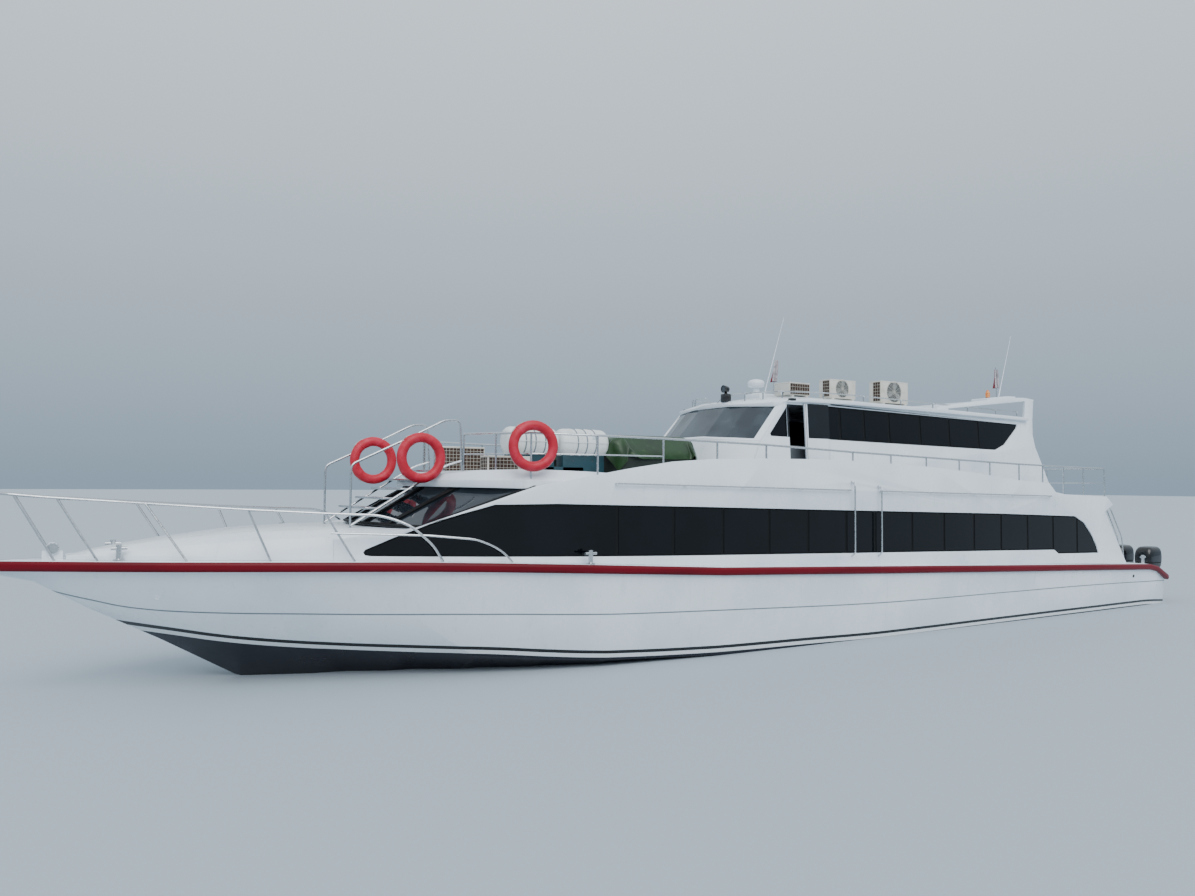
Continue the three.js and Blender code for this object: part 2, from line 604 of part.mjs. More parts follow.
const apron = sheet(HOUSE_FOOT, HOUSE_SILL, SHIELD.thick, -SHIELD.thick);
const HOUSE_ROOM = { fore: 2000, aft: -9000, foot: 2500 };
const roomOutline = oblong(HOUSE_ROOM.fore, HOUSE_ROOM.aft, HOUSE_ROOM.foot, BLANK.sky);
const houseSideRoom = leaned(sidePlate(roomOutline, -WALL - GAP, 2 * CUT_THROUGH));

// Wheelhouse roof: a thin crowned slab with a rounded nose, resting on the sides
// Columns: x, half-breadth, edge z, crown half-breadth, crown z, underside z
const TOP_ROOF = [
  [-7540, 1690, 4362, 1350, 4385, 4290],
  [-4500, 1700, 4410, 1350, 4450, 4330],
  [-1900, 1700, 4428, 1350, 4490, 4360],
  [-700, 1695, 4410, 1340, 4485, 4350],
  [-330, 1640, 4372, 1050, 4478, 4342],
  [-290, 1604, 4368, 990, 4474, 4338],
  [-180, 1530, 4356, 830, 4463, 4290],
  [-60, 1440, 4345, 650, 4450, 4256],
  [120, 1040, 4335, 400, 4420, 4272],
  [230, 540, 4345, 220, 4390, 4299],
];
const crownZ = (x) => along(TOP_ROOF.map((row) => [row[0], row[4]]), x);
const slabShape = loft(
  TOP_ROOF.map(([x, half, edgeZ, crownHalf, crown, under]) => [
    [x, half, under],
    [x, half, edgeZ],
    [x, crownHalf, crown],
    [x, -crownHalf, crown],
    [x, -half, edgeZ],
    [x, -half, under],
  ]),
);
const grown = [0, GAP, -GAP].map((y) => shift(houseSide, 0, y, 0));
const sideRoom = bothSides(join([...grown, shift(houseSide, 0, 0, GAP)]));
const topRoof = cut(slabShape, [sideRoom]);
const FRONT_TOP = 4340;
const aboveFront = box(-BLANK.inner, HOUSE_ROOM.fore, -BLANK.outer, BLANK.outer, FRONT_TOP, BLANK.sky);
const frontRoom = [bothSides(houseSideRoom), shift(slabShape, 0, 0, -GAP), aboveFront];
const front = cut(shieldFrame.add(apron), [roofCutter, ...frontRoom]);
add("wheelhouse_front", front, GELCOAT);
const shieldGlass = sheet(HOUSE_SILL, HOUSE_BROW, -GAP, -GLASS);
const glassRoom = [shift(front, -GAP, 0, GAP).add(front), ...frontRoom];
add("wheelhouse_windshield", cut(shieldGlass, glassRoom), SCREEN_GLASS);

// Wing across the two arms
const WING_HALF = 1530;
const WING = [
  [-6150, 4600], [-7560, 4752], [-7880, 4768], [-7990, 4795], [-7620, 4830], [-7336, 4815], [-6150, 4690],
];
const wing = cut(sidePlate(WING, -WING_HALF, WING_HALF), [sideRoom]);
add("roof_wing", wing, GELCOAT);

// Upper aft bulkhead and its door
add("upper_bulkhead", bulkhead(UPPER_BULKHEAD, [roofCutter, bothSides(houseSideRoom)]), GELCOAT);
add("upper_door", doorLeaf(UPPER_BULKHEAD), GELCOAT);

// Helm station: console and two seats on one floor board
const SEAT = { depth: 430, pan: 90, high: 420, back: 90, top: 1000, baseIn: 60 };
function seat(x, y0, y1, foot) {
  const panFoot = foot + SEAT.high - SEAT.pan;
  const pan = box(x, x + SEAT.depth, y0, y1, panFoot, foot + SEAT.high);
  const back = box(x - SEAT.back, x + LAP, y0, y1, panFoot, foot + SEAT.top);
  const base = box(
    x + SEAT.baseIn,
    x + SEAT.depth - SEAT.baseIn,
    y0 + SEAT.baseIn,
    y1 - SEAT.baseIn,
    foot,
    panFoot + LAP,
  );
  return join([pan, base, back]);
}
const HELM = { half: 900, seatX: -700, seatYs: [-450, 450], seatHalf: 260, floorZ: 2865 };
const CONSOLE = [[560, 2830], [560, 3500], [380, 3560], [60, 3420], [60, 2830]];
const HELM_FLOOR = [[560, 2700], [560, 2890], [-900, 2870], [-900, 2700]];
const helm = join([
  sidePlate(CONSOLE, -HELM.half, HELM.half),
  sidePlate(HELM_FLOOR, -HELM.half, HELM.half),
  ...HELM.seatYs.map((y) => seat(HELM.seatX, y - HELM.seatHalf, y + HELM.seatHalf, HELM.floorZ)),
]);
add("helm_station", helm.subtract(roofCutter), BLACK_PAINT);

// Saloon seats: rows on both sides of the aisle, fixed to one board on the sole
const SEAT_ROWS = { first: -9000, pitch: 850, count: 15, aisle: 320, side: 1800 };
const BOARD = { aft: -9100, fore: 3700, half: 1850, thick: 12 };
const rowFoot = SOLE_Z + BOARD.thick - 2 * LAP;
const rowXs = Array.from({ length: SEAT_ROWS.count }, (_, i) => SEAT_ROWS.first + SEAT_ROWS.pitch * i);
const rows = rowXs.map((x) => seat(x, SEAT_ROWS.aisle, SEAT_ROWS.side, rowFoot));
const board = box(BOARD.aft, BOARD.fore, -BOARD.half, BOARD.half, SOLE_Z + GAP, SOLE_Z + BOARD.thick);
add("saloon_seats", join([board, ...rows.map(bothSides)]), SEAT_VINYL);

// Bow rails: top rail, mid rail and raked stanchions on each side
const POST_RADIUS = 16;
// Columns: x, y, z
const BOW_TOP = [
  [12020, 0, 2640], [11880, 190, 2630], [11420, 330, 2585], [10560, 610, 2525], [9910, 900, 2480],
  [9080, 1220, 2425], [8150, 1530, 2375], [7480, 1720, 2350], [7260, 1780, 2290], [7030, 1840, 2190],
  [6730, 1910, 1920], [6600, 1930, 1692],
];
const BOW_MID = [
  [8080, 1560, 2110], [6810, 1890, 2065], [6130, 2010, 2000], [5900, 2050, 1910], [5720, 2080, 1800],
  [5600, 2110, 1655],
];
// Columns: foot x, foot y, head x, head y, head z
const BOW_POSTS = [
  [11280, 300, 11750, 230, 2615], [10800, 500, 11270, 380, 2570], [9790, 960, 10280, 740, 2505],
  [8800, 1290, 9090, 1215, 2425], [7770, 1650, 8150, 1530, 2375],
];
const bowPosts = BOW_POSTS.map(([fx, fy, hx, hy, hz]) =>
  rod([fx, fy, deckZ(fx) - ROOT], [hx, hy, hz], POST_RADIUS),
);
const bowSides = bothSides(join([pipe(BOW_MID, POST_RADIUS), ...bowPosts]));
const bowTop = pipe([...BOW_TOP.slice(1).reverse().map(across), ...BOW_TOP], RAIL_RADIUS);
add("bow_rail", cut(bowTop.add(bowSides), [hullCutter]), STAINLESS);

// Upper deck rails
const SIDE_TOP = SIDE_OUTLINE.slice(2, 17).reverse();
const wallMid = (x) => wallY(x) - WALL / 2;
// Columns: x, top z
const RAIL_TOP = [
  [-9780, 3235], [-7200, 3270], [-6350, 3285], [-1300, 3420], [820, 3495], [2990, 3535], [6400, 3570],
];
const railZ = (x) => along(RAIL_TOP, x);
const POSTS = [4180, 2990, 1900, 820, -1300, -2330, -3350, -4360, -5350, -6350, -7200];
// Columns: x, y, foot z
const FORE_POSTS = [[5850, 860, 2900], [5590, 1480, 2860], [5230, 1940, 2800]];
const JOINT_X = -7230; // where the side rails meet the stern rail
const MID_Z = 3250; // mid rail of the fore end
const onWall = (x, z) => [x, wallMid(x), z];
const midRail = [
  ...FORE_POSTS.map(([x, y]) => [x, y, MID_Z]),
  ...POSTS.slice(0, 2).map((x) => onWall(x, MID_Z)),
];
const deckRail = cut(
  join([
    pipe(
      [
        ...FORE_POSTS.map(([x, y]) => [x, y, railZ(x)]),
        ...POSTS.map((x) => onWall(x, railZ(x))),
        onWall(JOINT_X, railZ(JOINT_X)),
      ],
      RAIL_RADIUS,
    ),
    pipe(midRail, THIN_RADIUS),
    ...FORE_POSTS.map(([x, y, z]) => rod([x, y, z], [x, y, railZ(x)], POST_RADIUS)),
    ...POSTS.map((x) => rod(onWall(x, along(SIDE_TOP, x) - WALL), onWall(x, railZ(x)), POST_RADIUS)),
  ]),
  [shift(sidePort, 0, 0, GAP), roofCutter],
);
add("deck_rail_port", deckRail, STAINLESS);
add("deck_rail_starboard", mirrored(deckRail), STAINLESS);

// Stern rail of the upper deck
const AFT_X = -9780;
const AFT_MID_Z = 2900;
const AFT_POST_FOOT = 2450;
// Columns: x, y
const SIDE_STERN_POSTS = [[-8100, 2140], [-8900, 2130], [AFT_X, 2120]];
const AFT_POSTS = [-700, 700];
const sternRun = (z) => SIDE_STERN_POSTS.map(([x, y]) => [x, y, z ?? railZ(x)]);
const sternHalf = [onWall(JOINT_X - 4, railZ(JOINT_X)), ...sternRun()];
const bothEnds = (half) => [...half, ...half.map(across).reverse()];
const sternRail = cut(
  join([
    pipe(bothEnds(sternHalf), RAIL_RADIUS),
    pipe(bothEnds(sternRun(AFT_MID_Z)), THIN_RADIUS),
    ...SIDE_STERN_POSTS.flatMap(([x, y]) =>
      [y, -y].map((side) => rod([x, side, AFT_POST_FOOT], [x, side, railZ(x)], POST_RADIUS)),
    ),
    ...AFT_POSTS.map((y) => rod([AFT_X, y, AFT_POST_FOOT], [AFT_X, y, railZ(AFT_X)], POST_RADIUS)),
  ]),
  [roofCutter],
);
add("stern_rail", sternRail, STAINLESS);

// Low rails on the wheelhouse roof, from the nose round both sides
// Columns: x, y, z
const LOW_RAIL = [
  [190, 60, 4375], [150, 300, 4530], [40, 760, 4552], [-130, 1080, 4556], [-380, 1330, 4565],
  [-1300, 1480, 4580], [-2400, 1480, 4575], [-3500, 1480, 4560], [-4500, 1480, 4540], [-5640, 1480, 4520],
  [-6620, 1480, 4510], [-7400, 1480, 4505],
];
const LOW_POSTS = LOW_RAIL.slice(2);
const LOW_POST_IN = 60; // how far a post's foot lies below the roof's crown
const lowRail = join([
  pipe(LOW_RAIL, THIN_RADIUS),
  ...LOW_POSTS.map(([x, y, z]) => rod([x, y, crownZ(x) - LOW_POST_IN], [x, y, z], THIN_RADIUS)),
]);

// Stair from the foredeck over the windscreen, with its handrails
function alongStair(t) {
  return [0, 1].map((k) => STAIR.foot[k] + (STAIR.head[k] - STAIR.foot[k]) * t);
}
// Columns: x, z
const STAIR_RAIL = [[7600, 2090], [7600, 3060], [6780, 3450], [6150, 3770], [5900, 3780], [5860, 2960]];
const STRINGER = [[7600, 2170], [6120, 3075], [5860, 3150]];
const STAIR_RADIUS = 17;
const stairYs = [STAIR.y - STAIR.half, STAIR.y + STAIR.half];
const stairSide = (y) =>
  join([STAIR_RAIL, STRINGER].map((line) => pipe(line.map(([x, z]) => [x, y, z]), STAIR_RADIUS)));
const TREAD = { half: 90, thick: 30, above: 160, share: 0.6 };
const treads = Array.from({ length: STAIR.treads }, (_, i) => {
  const [x, z] = alongStair((i + TREAD.share) / STAIR.treads);
  const top = z + TREAD.above;
  return box(x - TREAD.half, x + TREAD.half, ...stairYs, top - TREAD.thick, top);
});
const stair = join([...stairYs.map(stairSide), ...treads]);
const railRoom = join([0, GAP, -GAP].map((x) => shift(deckRail, x, 0, 0)));
add("boarding_stair", cut(stair, [shift(trunk, 0, 0, GAP), roofCutter, railRoom]), STAINLESS);

// Life rings, each tied flat against a rail
function ring(x, y, z, turn = 0) {
  const geometry = new THREE.TorusGeometry(RING.centreRadius, RING.tubeRadius, 8, 18);
  return solidOf(geometry.rotateX(Math.PI / 2).rotateZ(turn).translate(x, y, z));
}
// Columns: x, z and the distance out from the rail's axis, for the two rings tied inside the stair's rails
const STAIR_RINGS = [[6850, 3160, 92.3], [6560, 3180, 87.7]];
STAIR_RINGS.forEach(([x, z, out], i) => {
  add(`life_ring_${i + 1}`, ring(x, stairYs[i] + out, z), BUOY_RED);
});
const CORNER = { x: 5225, y: 1940, z: 3360, out: 96.2, turn: -Math.atan2(187, 1050) };
const cornerX = CORNER.x - CORNER.out * Math.sin(CORNER.turn);
const cornerY = CORNER.y + CORNER.out * Math.cos(CORNER.turn);
add("life_ring_3", ring(cornerX, cornerY, CORNER.z, CORNER.turn), BUOY_RED);

// Condenser boxes, life-raft capsules on their cradle and the covered raft
const onRoof = (solid) => cut(solid, [roofCutter]);
// Columns: aft x, fore x, starboard y, port y, top z
const CONDENSERS = [[4950, 5750, -620, -300, 3420], [4900, 5650, 1020, 1320, 3230]];
const CONDENSER_FOOT = 2900;
CONDENSERS.forEach(([aft, fore, y0, y1, top], i) => {
  add(`condenser_${i + 1}`, onRoof(box(aft, fore, y0, y1, CONDENSER_FOOT, top)), RUSTY_GREY);
});

const CAPSULE = { radius: 235, half: 460, y: 900, z: 3480, xs: [4720, 3760] };
const CRADLE = { longHalf: 400, half: 110, top: 3330, beamTop: 3080, foot: 2850 };
const capsuleProfile = [[0, -1], [0.7, -0.98], [1, -0.8], [1, 0.8], [0.7, 0.98], [0, 1]].map(
  ([r, h]) => new THREE.Vector2(r * CAPSULE.radius, h * CAPSULE.half),
);
const capsule = (x, y) =>
  solidOf(new THREE.LatheGeometry(capsuleProfile, 12).rotateZ(Math.PI / 2).translate(x, y, CAPSULE.z));
const cradle = (x0, x1, top) =>
  box(x0, x1, CAPSULE.y - CRADLE.half, CAPSULE.y + CRADLE.half, CRADLE.foot, top);
const rafts = join([
  ...CAPSULE.xs.map((x) => capsule(x, CAPSULE.y)),
  ...CAPSULE.xs.map((x) => cradle(x - CRADLE.longHalf, x + CRADLE.longHalf, CRADLE.top)),
  cradle(CAPSULE.xs[1], CAPSULE.xs[0], CRADLE.beamTop),
]);
add("life_rafts", onRoof(rafts), GELCOAT);

// Columns: y, aft x, fore x, top z of the covered raft's sections
const COVER = [
  [-1250, 1560, 3180, 3360], [-1050, 1480, 3260, 3600], [0, 1440, 3270, 3700],
  [1100, 1480, 3260, 3650], [1330, 1560, 3180, 3360],
];
const COVER_FOOT = 2800;
// Columns: distance in from the edge, drop below the top
const COVER_AFT = [[40, 60], [260, 0]];
const COVER_FORE = [[200, 10], [20, 90]];
const coverLoops = COVER.map(([y, aft, fore, top]) => [
  [aft, y, COVER_FOOT],
  ...COVER_AFT.map(([edge, drop]) => [aft + edge, y, top - drop]),
  ...COVER_FORE.map(([edge, drop]) => [fore - edge, y, top - drop]),
  [fore, y, COVER_FOOT],
]);
add("raft_cover", onRoof(loft(coverLoops)), TARP);

// Wheelhouse roof with the fittings moulded or welded to it: low side rails and the searchlight post
const LIGHT = { x: 150, y: 330, postTop: 4565, above: 95 };
const lathe = (profile, sides, x, y, z) =>
  solidOf(
    new THREE.LatheGeometry(profile.map(([r, h]) => new THREE.Vector2(r, h)), sides)
      .rotateX(Math.PI / 2)
      .translate(x, y, z),
  );
const postProfile = [[0, -190], [48, -190], [48, -25], [34, -15], [34, 0], [0, 0]];
const lightPost = lathe(postProfile, 10, LIGHT.x, LIGHT.y, LIGHT.postTop);
add("upper_roof", join([topRoof, bothSides(lowRail), lightPost]), GELCOAT);

// Outdoor air-conditioning units on the wheelhouse roof
// Columns: fore x, aft x, inboard y, port y, top z
const AC_UNITS = [
  [-576, -1122, 890, 1330, 4765], [-1700, -2430, 960, 1280, 4900], [-3140, -3980, 960, 1290, 4960],
];
const roofRoom = shift(topRoof, 0, 0, GAP);
const LEG = { half: 30, in: 90, high: 35 };
AC_UNITS.forEach(([fore, aft, y0, y1, top], i) => {
  const foot = crownZ(fore) + LEG.high;
  const leg = (x) => box(x - LEG.half, x + LEG.half, y0, y1, crownZ(x) - ROOT, foot + LAP);
  const unit = join([box(aft, fore, y0, y1, foot, top), leg(aft + LEG.in), leg(fore - LEG.in)]);
  add(`ac_unit_${i + 1}`, cut(unit, [roofRoom]), UNIT_GREY);
});

// Masts: radome, whip aerial and flagstaff on a plinth forward; aerial, flagstaff and lantern on the wing
const FLAG = { foot: 27, head: 45, length: 420 };
function furled(x, y, z) {
  const roll = new THREE.CylinderGeometry(FLAG.foot, FLAG.head, FLAG.length, 8);
  return solidOf(roll.rotateX(Math.PI / 2).translate(x, y, z));
}
const radomeProfile = [
  [0, -60], [130, -60], [70, 0], [60, 100], [160, 120], [170, 190], [110, 250], [0, 265],
];
// Each point is x, y, z
const MAST_FORE = {
  plinth: [-1000, -480, 130, 600, 4450, 4600],
  radome: [-650, 300, 4640],
  aerial: [[-900, 250, 4500], [-1450, 250, 6250]],
  staff: [[-860, 540, 4500], [-960, 540, 5290]],
  flag: [-943, 540, 5060],
};
const mastFore = join([
  box(...MAST_FORE.plinth),
  lathe(radomeProfile, 10, ...MAST_FORE.radome),
  rod(...MAST_FORE.aerial, THIN_RADIUS),
  rod(...MAST_FORE.staff, THIN_RADIUS),
  furled(...MAST_FORE.flag),
]);
add("mast_fore", cut(mastFore, [roofRoom]), GELCOAT);
const MAST_AFT = {
  plinth: [[-7660, 4770], [-7660, 4880], [-7336, 4870], [-6620, 4790], [-6620, 4680]],
  plinthYs: [860, 1290],
  aerial: [[-7570, 900, 4840], [-8080, 900, 6380]],
  staff: [[-7370, 1000, 4800], [-7340, 1000, 5560]],
  flag: [-7346, 1000, 5290],
  lantern: [[-6750, 1200, 4740], [-6750, 1200, 4990]],
  lanternRadius: 60,
};
const mastAft = join([
  sidePlate(MAST_AFT.plinth, ...MAST_AFT.plinthYs),
  rod(...MAST_AFT.aerial, THIN_RADIUS),
  rod(...MAST_AFT.staff, THIN_RADIUS),
  furled(...MAST_AFT.flag),
  rod(...MAST_AFT.lantern, MAST_AFT.lanternRadius, 8),
]);
add("mast_aft", cut(mastAft, [shift(wing, 0, 0, GAP)]), GELCOAT);

// Searchlight head, panning on its post
const lampProfile = [[0, -70], [48, -66], [68, -10], [74, 45], [74, 70], [0, 70]];
const lamp = new THREE.LatheGeometry(lampProfile.map(([r, h]) => new THREE.Vector2(r, h)), 10);
const searchlight = join([
  lathe([[0, 0], [40, 0], [40, 40], [0, 40]], 10, LIGHT.x, LIGHT.y, LIGHT.postTop + GAP),
  solidOf(lamp.rotateZ(-Math.PI / 2).translate(LIGHT.x, LIGHT.y, LIGHT.postTop + LIGHT.above)),
]);
add("searchlight_head", searchlight, BLACK_PAINT);

// Outboards: clamp brackets on the transom, swivel blocks, motors and propellers
const { tiltX, tiltZ, steerX, propZ, propX } = OUTBOARD;
const BRACKET = { half: 130, plate: 22, tube: 20, foot: 180, padHead: 300, padThick: 30 };
const clampAft = STERN_X - GAP;
// Columns: x, z
const CLAMP_SIDE = [
  [clampAft, BRACKET.foot], [clampAft, 690], [tiltX - 40, 700], [tiltX - 70, 640], [tiltX - 50, 560],
  [STERN_X - 60, BRACKET.foot],
];
function clampBracket(y) {
  const plates = [-BRACKET.half, BRACKET.half].map((out) =>
    sidePlate(CLAMP_SIDE, y + out - BRACKET.plate / 2, y + out + BRACKET.plate / 2),
  );
  const tube = rod([tiltX, y - BRACKET.half, tiltZ], [tiltX, y + BRACKET.half, tiltZ], BRACKET.tube, 12);
  const { half, foot, padHead, padThick } = BRACKET;
  const pad = box(STERN_X - padThick, clampAft, y - half, y + half, foot, padHead);
  return join([...plates, tube, pad]);
}
const TRANSOM_PLATE = { thick: 14, half: 1900, foot: 200, head: 640 };
const transomPlate = box(
  STERN_X - TRANSOM_PLATE.thick,
  clampAft,
  -TRANSOM_PLATE.half,
  TRANSOM_PLATE.half,
  TRANSOM_PLATE.foot,
  TRANSOM_PLATE.head,
);
add("outboard_brackets", join([transomPlate, ...OUTBOARD.ys.map(clampBracket)]), CAST_ALLOY);

// The tilt hub fills the space between the clamp's plates
const SWIVEL = { hub: 48, bore: 22, webHalf: 34, post: 46, foot: 220, head: 690 };
const SWIVEL_WEB = [
  [tiltX + 20, tiltZ], [tiltX - 60, tiltZ + 10], [steerX, 620], [steerX, 260], [tiltX - 40, 330],
];
const hubHalf = BRACKET.half - BRACKET.plate / 2 - GAP;
function swivel(y) {
  const hub = rod([tiltX, y - hubHalf, tiltZ], [tiltX, y + hubHalf, tiltZ], SWIVEL.hub, 12);
  const bore = rod([tiltX, y - CUT_THROUGH, tiltZ], [tiltX, y + CUT_THROUGH, tiltZ], SWIVEL.bore, 12);
  const web = sidePlate(SWIVEL_WEB, y - SWIVEL.webHalf, y + SWIVEL.webHalf);
  const post = rod([steerX, y, SWIVEL.foot], [steerX, y, SWIVEL.head], SWIVEL.post, 12);
  return cut(join([hub, web, post]), [bore]);
}

// A level loop of eight points with cut corners
const CORNER_SHARE = 0.62; // of the half breadth that stays straight
function roundedLoop([halfX, halfY, x, z], y) {
  const corner = CORNER_SHARE;
  const points = [
    [1, corner], [corner, 1], [-corner, 1], [-1, corner],
    [-1, -corner], [-corner, -1], [corner, -1], [1, -corner],
  ];
  return points.map(([a, b]) => [x + a * halfX, y + b * halfY, z]);
}

// Columns: half length, half width, x, z
const COWL = [
  [280, 180, -12460, 770], [325, 215, -12465, 850], [335, 220, -12475, 1080], [300, 195, -12490, 1240],
  [220, 140, -12500, 1320],
];
const LEG_SECTIONS = [[130, 80, -12410, 780], [125, 70, -12405, 200], [150, 50, -12430, -330]];
const STRUT_SECTIONS = [[170, 30, -12440, -325], [180, 26, -12460, propZ]];
const YOKE = { half: 50, thick: 50, aft: -12330, fore: steerX + 50, neckFore: -12290 };
const CAVITATION = { fore: -12240, aft: -12940, foot: -338, head: -322, half: 150 };
const SKEG = [[-12300, propZ - 40], [-12640, propZ - 40], [-12640, propZ - 200], [-12560, propZ - 260]];
const SKEG_HALF = 9;
const TORPEDO = {
  x: propX + 305,
  profile: [[0, -260], [45, -220], [72, -100], [72, 180], [58, 280], [0, 280]],
};
const PROP = { hub: 56, fore: propX + 20, aft: propX - 110, blades: 3, shaft: 24 };
const BLADE = { thick: 14, wide: 120, long: 150, out: 112, pitch: 0.5, x: propX - 45 };

function motor(y) {
  const loops = (rows) => loft(rows.map((row) => roundedLoop(row, y)));
  const { half, thick, aft, fore, neckFore } = YOKE;
  const [above, below] = [SWIVEL.head + GAP, SWIVEL.foot - GAP];
  const yokes = [
    box(aft, fore, y - half, y + half, above, above + thick),
    box(aft, fore, y - half, y + half, below - thick, below),
  ];
  const neck = box(aft, neckFore, y - half, y + half, above, above + 2 * thick);
  const plate = box(
    CAVITATION.aft,
    CAVITATION.fore,
    y - CAVITATION.half,
    y + CAVITATION.half,
    CAVITATION.foot,
    CAVITATION.head,
  );
  const profile = TORPEDO.profile.map(([r, h]) => new THREE.Vector2(r, h));
  const turned = new THREE.LatheGeometry(profile, 12).rotateZ(Math.PI / 2);
  const torpedo = solidOf(turned.translate(TORPEDO.x, y, propZ));
  const shaft = rod([TORPEDO.x, y, propZ], [PROP.fore + GAP, y, propZ], PROP.shaft, 12);
  const skeg = sidePlate(SKEG, y - SKEG_HALF, y + SKEG_HALF);
  const housing = [loops(COWL), loops(LEG_SECTIONS), loops(STRUT_SECTIONS)];
  return join([...housing, ...yokes, neck, plate, torpedo, shaft, skeg]);
}

function propeller(y) {
  const hub = rod([PROP.fore, y, propZ], [PROP.aft, y, propZ], PROP.hub, 12);
  const blades = Array.from({ length: PROP.blades }, (_, i) => {
    const blade = new THREE.BoxGeometry(BLADE.thick, BLADE.wide, BLADE.long)
      .rotateZ(BLADE.pitch)
      .translate(0, 0, BLADE.out);
    return solidOf(blade.rotateX((i * 2 * Math.PI) / PROP.blades).translate(BLADE.x, y, propZ));
  });
  return join([hub, ...blades]);
}

OUTBOARD.ys.forEach((y, i) => {
  add(`swivel_${i + 1}`, swivel(y), CAST_ALLOY);
  add(`motor_${i + 1}`, motor(y), BLACK_PAINT);
  add(`propeller_${i + 1}`, propeller(y), STAINLESS);
});

export default root;
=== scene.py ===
# %% [markdown]
# # Dressing a passenger ferry
# The CAD model already holds every solid at its real size and place: hull, cabins, rails and motors.
# This lesson loads it as a fixed frame and gives each part the finish and the small pieces of the real boat.
# Everything is in metres: +X is the bow, +Y is port, +Z is up, and the waterline is at z = 0.

# %% Load the frame
import math

import bmesh
import bpy
import numpy as np
from mathutils import Matrix, Vector, noise


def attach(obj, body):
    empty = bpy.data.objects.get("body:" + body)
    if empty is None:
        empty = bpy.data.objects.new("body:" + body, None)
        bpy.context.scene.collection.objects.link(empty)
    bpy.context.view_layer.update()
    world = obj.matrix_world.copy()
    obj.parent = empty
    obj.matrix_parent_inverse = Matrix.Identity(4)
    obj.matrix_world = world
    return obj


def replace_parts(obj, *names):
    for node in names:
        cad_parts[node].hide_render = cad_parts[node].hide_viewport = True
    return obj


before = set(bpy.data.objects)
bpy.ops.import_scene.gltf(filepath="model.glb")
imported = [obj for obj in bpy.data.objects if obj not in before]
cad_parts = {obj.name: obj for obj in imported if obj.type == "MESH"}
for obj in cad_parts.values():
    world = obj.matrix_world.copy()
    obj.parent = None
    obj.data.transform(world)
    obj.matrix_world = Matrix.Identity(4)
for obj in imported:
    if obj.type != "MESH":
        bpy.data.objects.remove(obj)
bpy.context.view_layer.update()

# %% [markdown]
# ## The camera first
# The boat was seen from its port side, abreast of the bow and low down, so its lines run away fast to the
# stern. A camera is three things: where it stands, where it looks and how wide it sees. All three are real
# values here, so no lens shift is needed: it stands 2.8 m above the waterline, turned 31.7 degrees towards
# the stern and tilted 2.2 degrees up, behind a 27 mm lens.

# %% Camera
CAMERA_PLACE = Vector((11.49, 13.98, 2.81))
CAMERA_YAW = math.radians(31.66)
CAMERA_PITCH = math.radians(2.24)
CAMERA_ROLL = math.radians(0.40)
LENS_MM = 27.32

forward = Vector((
    -math.sin(CAMERA_YAW) * math.cos(CAMERA_PITCH),
    -math.cos(CAMERA_YAW) * math.cos(CAMERA_PITCH),
    math.sin(CAMERA_PITCH),
))
level = Vector((-math.cos(CAMERA_YAW), math.sin(CAMERA_YAW), 0))
above = level.cross(forward)
right = math.cos(CAMERA_ROLL) * level + math.sin(CAMERA_ROLL) * above
up = right.cross(forward)

camera = bpy.data.objects.new("camera", bpy.data.cameras.new("camera"))
bpy.context.scene.collection.objects.link(camera)
camera.data.sensor_width = 36
camera.data.lens = LENS_MM
camera.data.clip_end = 2000
camera.matrix_world = Matrix.Translation(CAMERA_PLACE) @ Matrix((right, up, -forward)).transposed().to_4x4()
bpy.context.scene.camera = camera
print("camera", [round(x, 2) for x in CAMERA_PLACE])

# %% [markdown]
# ## Colours and nodes
# A painter names colours as hex codes, which are sRGB, but a shader socket wants linear values. One function
# turns them. A second one adds any shader node with its settings and links, so that each finish below
# reads as a short recipe.

# %% Colour and node helpers
def linear(code):
    channels = [int(code[i : i + 2], 16) / 255 for i in (1, 3, 5)]
    return (*[c / 12.92 if c <= 0.04045 else ((c + 0.055) / 1.055) ** 2.4 for c in channels], 1.0)


def node(tree, kind, sockets=None, **settings):
    made = tree.nodes.new("ShaderNode" + kind)
    for name, value in settings.items():
        setattr(made, name, value)
    for name, value in (sockets or {}).items():
        if isinstance(value, bpy.types.NodeSocket):
            tree.links.new(value, made.inputs[name])
        else:
            made.inputs[name].default_value = value
    return made


def new_finish(name, colour, roughness, sockets=None):
    material = bpy.data.materials.new(name)
    material.use_nodes = True
    shader = material.node_tree.nodes["Principled BSDF"]
    values = {"Base Color": linear(colour), "Roughness": roughness, **(sockets or {})}
    for socket, value in values.items():
        shader.inputs[socket].default_value = value
    return material


# %% [markdown]
# A finish is never one flat colour. Sun, salt and hands change a surface in patches, and the patches have a
# size. `patina` lays a second colour over the first where a noise of that size is high, and chains, so that
# several layers can be put on. `grain` raises a fine pattern, such as orange peel or a weave, as bump.

# %% Layers for a finish
MIX_A, MIX_B, MIX_RESULT = 6, 7, 2  # the colour sockets of a Mix node
PATCH_DETAIL, GLOSS_DETAIL = 5, 3  # finer octaves in each kind of cloud
CLOUD_LOW, CLOUD_HIGH = 0.3, 0.7  # where a cloud starts and stops to change the gloss


def place_of(tree, stretch=(1, 1, 1)):
    coordinates = node(tree, "TexCoord").outputs["Object"]
    return node(tree, "Mapping", {"Vector": coordinates, "Scale": stretch}).outputs["Vector"]


def clouds(tree, size, detail, stretch=(1, 1, 1)):
    sockets = {"Vector": place_of(tree, stretch), "Scale": 1 / size, "Detail": detail}
    return node(tree, "TexNoise", sockets).outputs["Fac"]


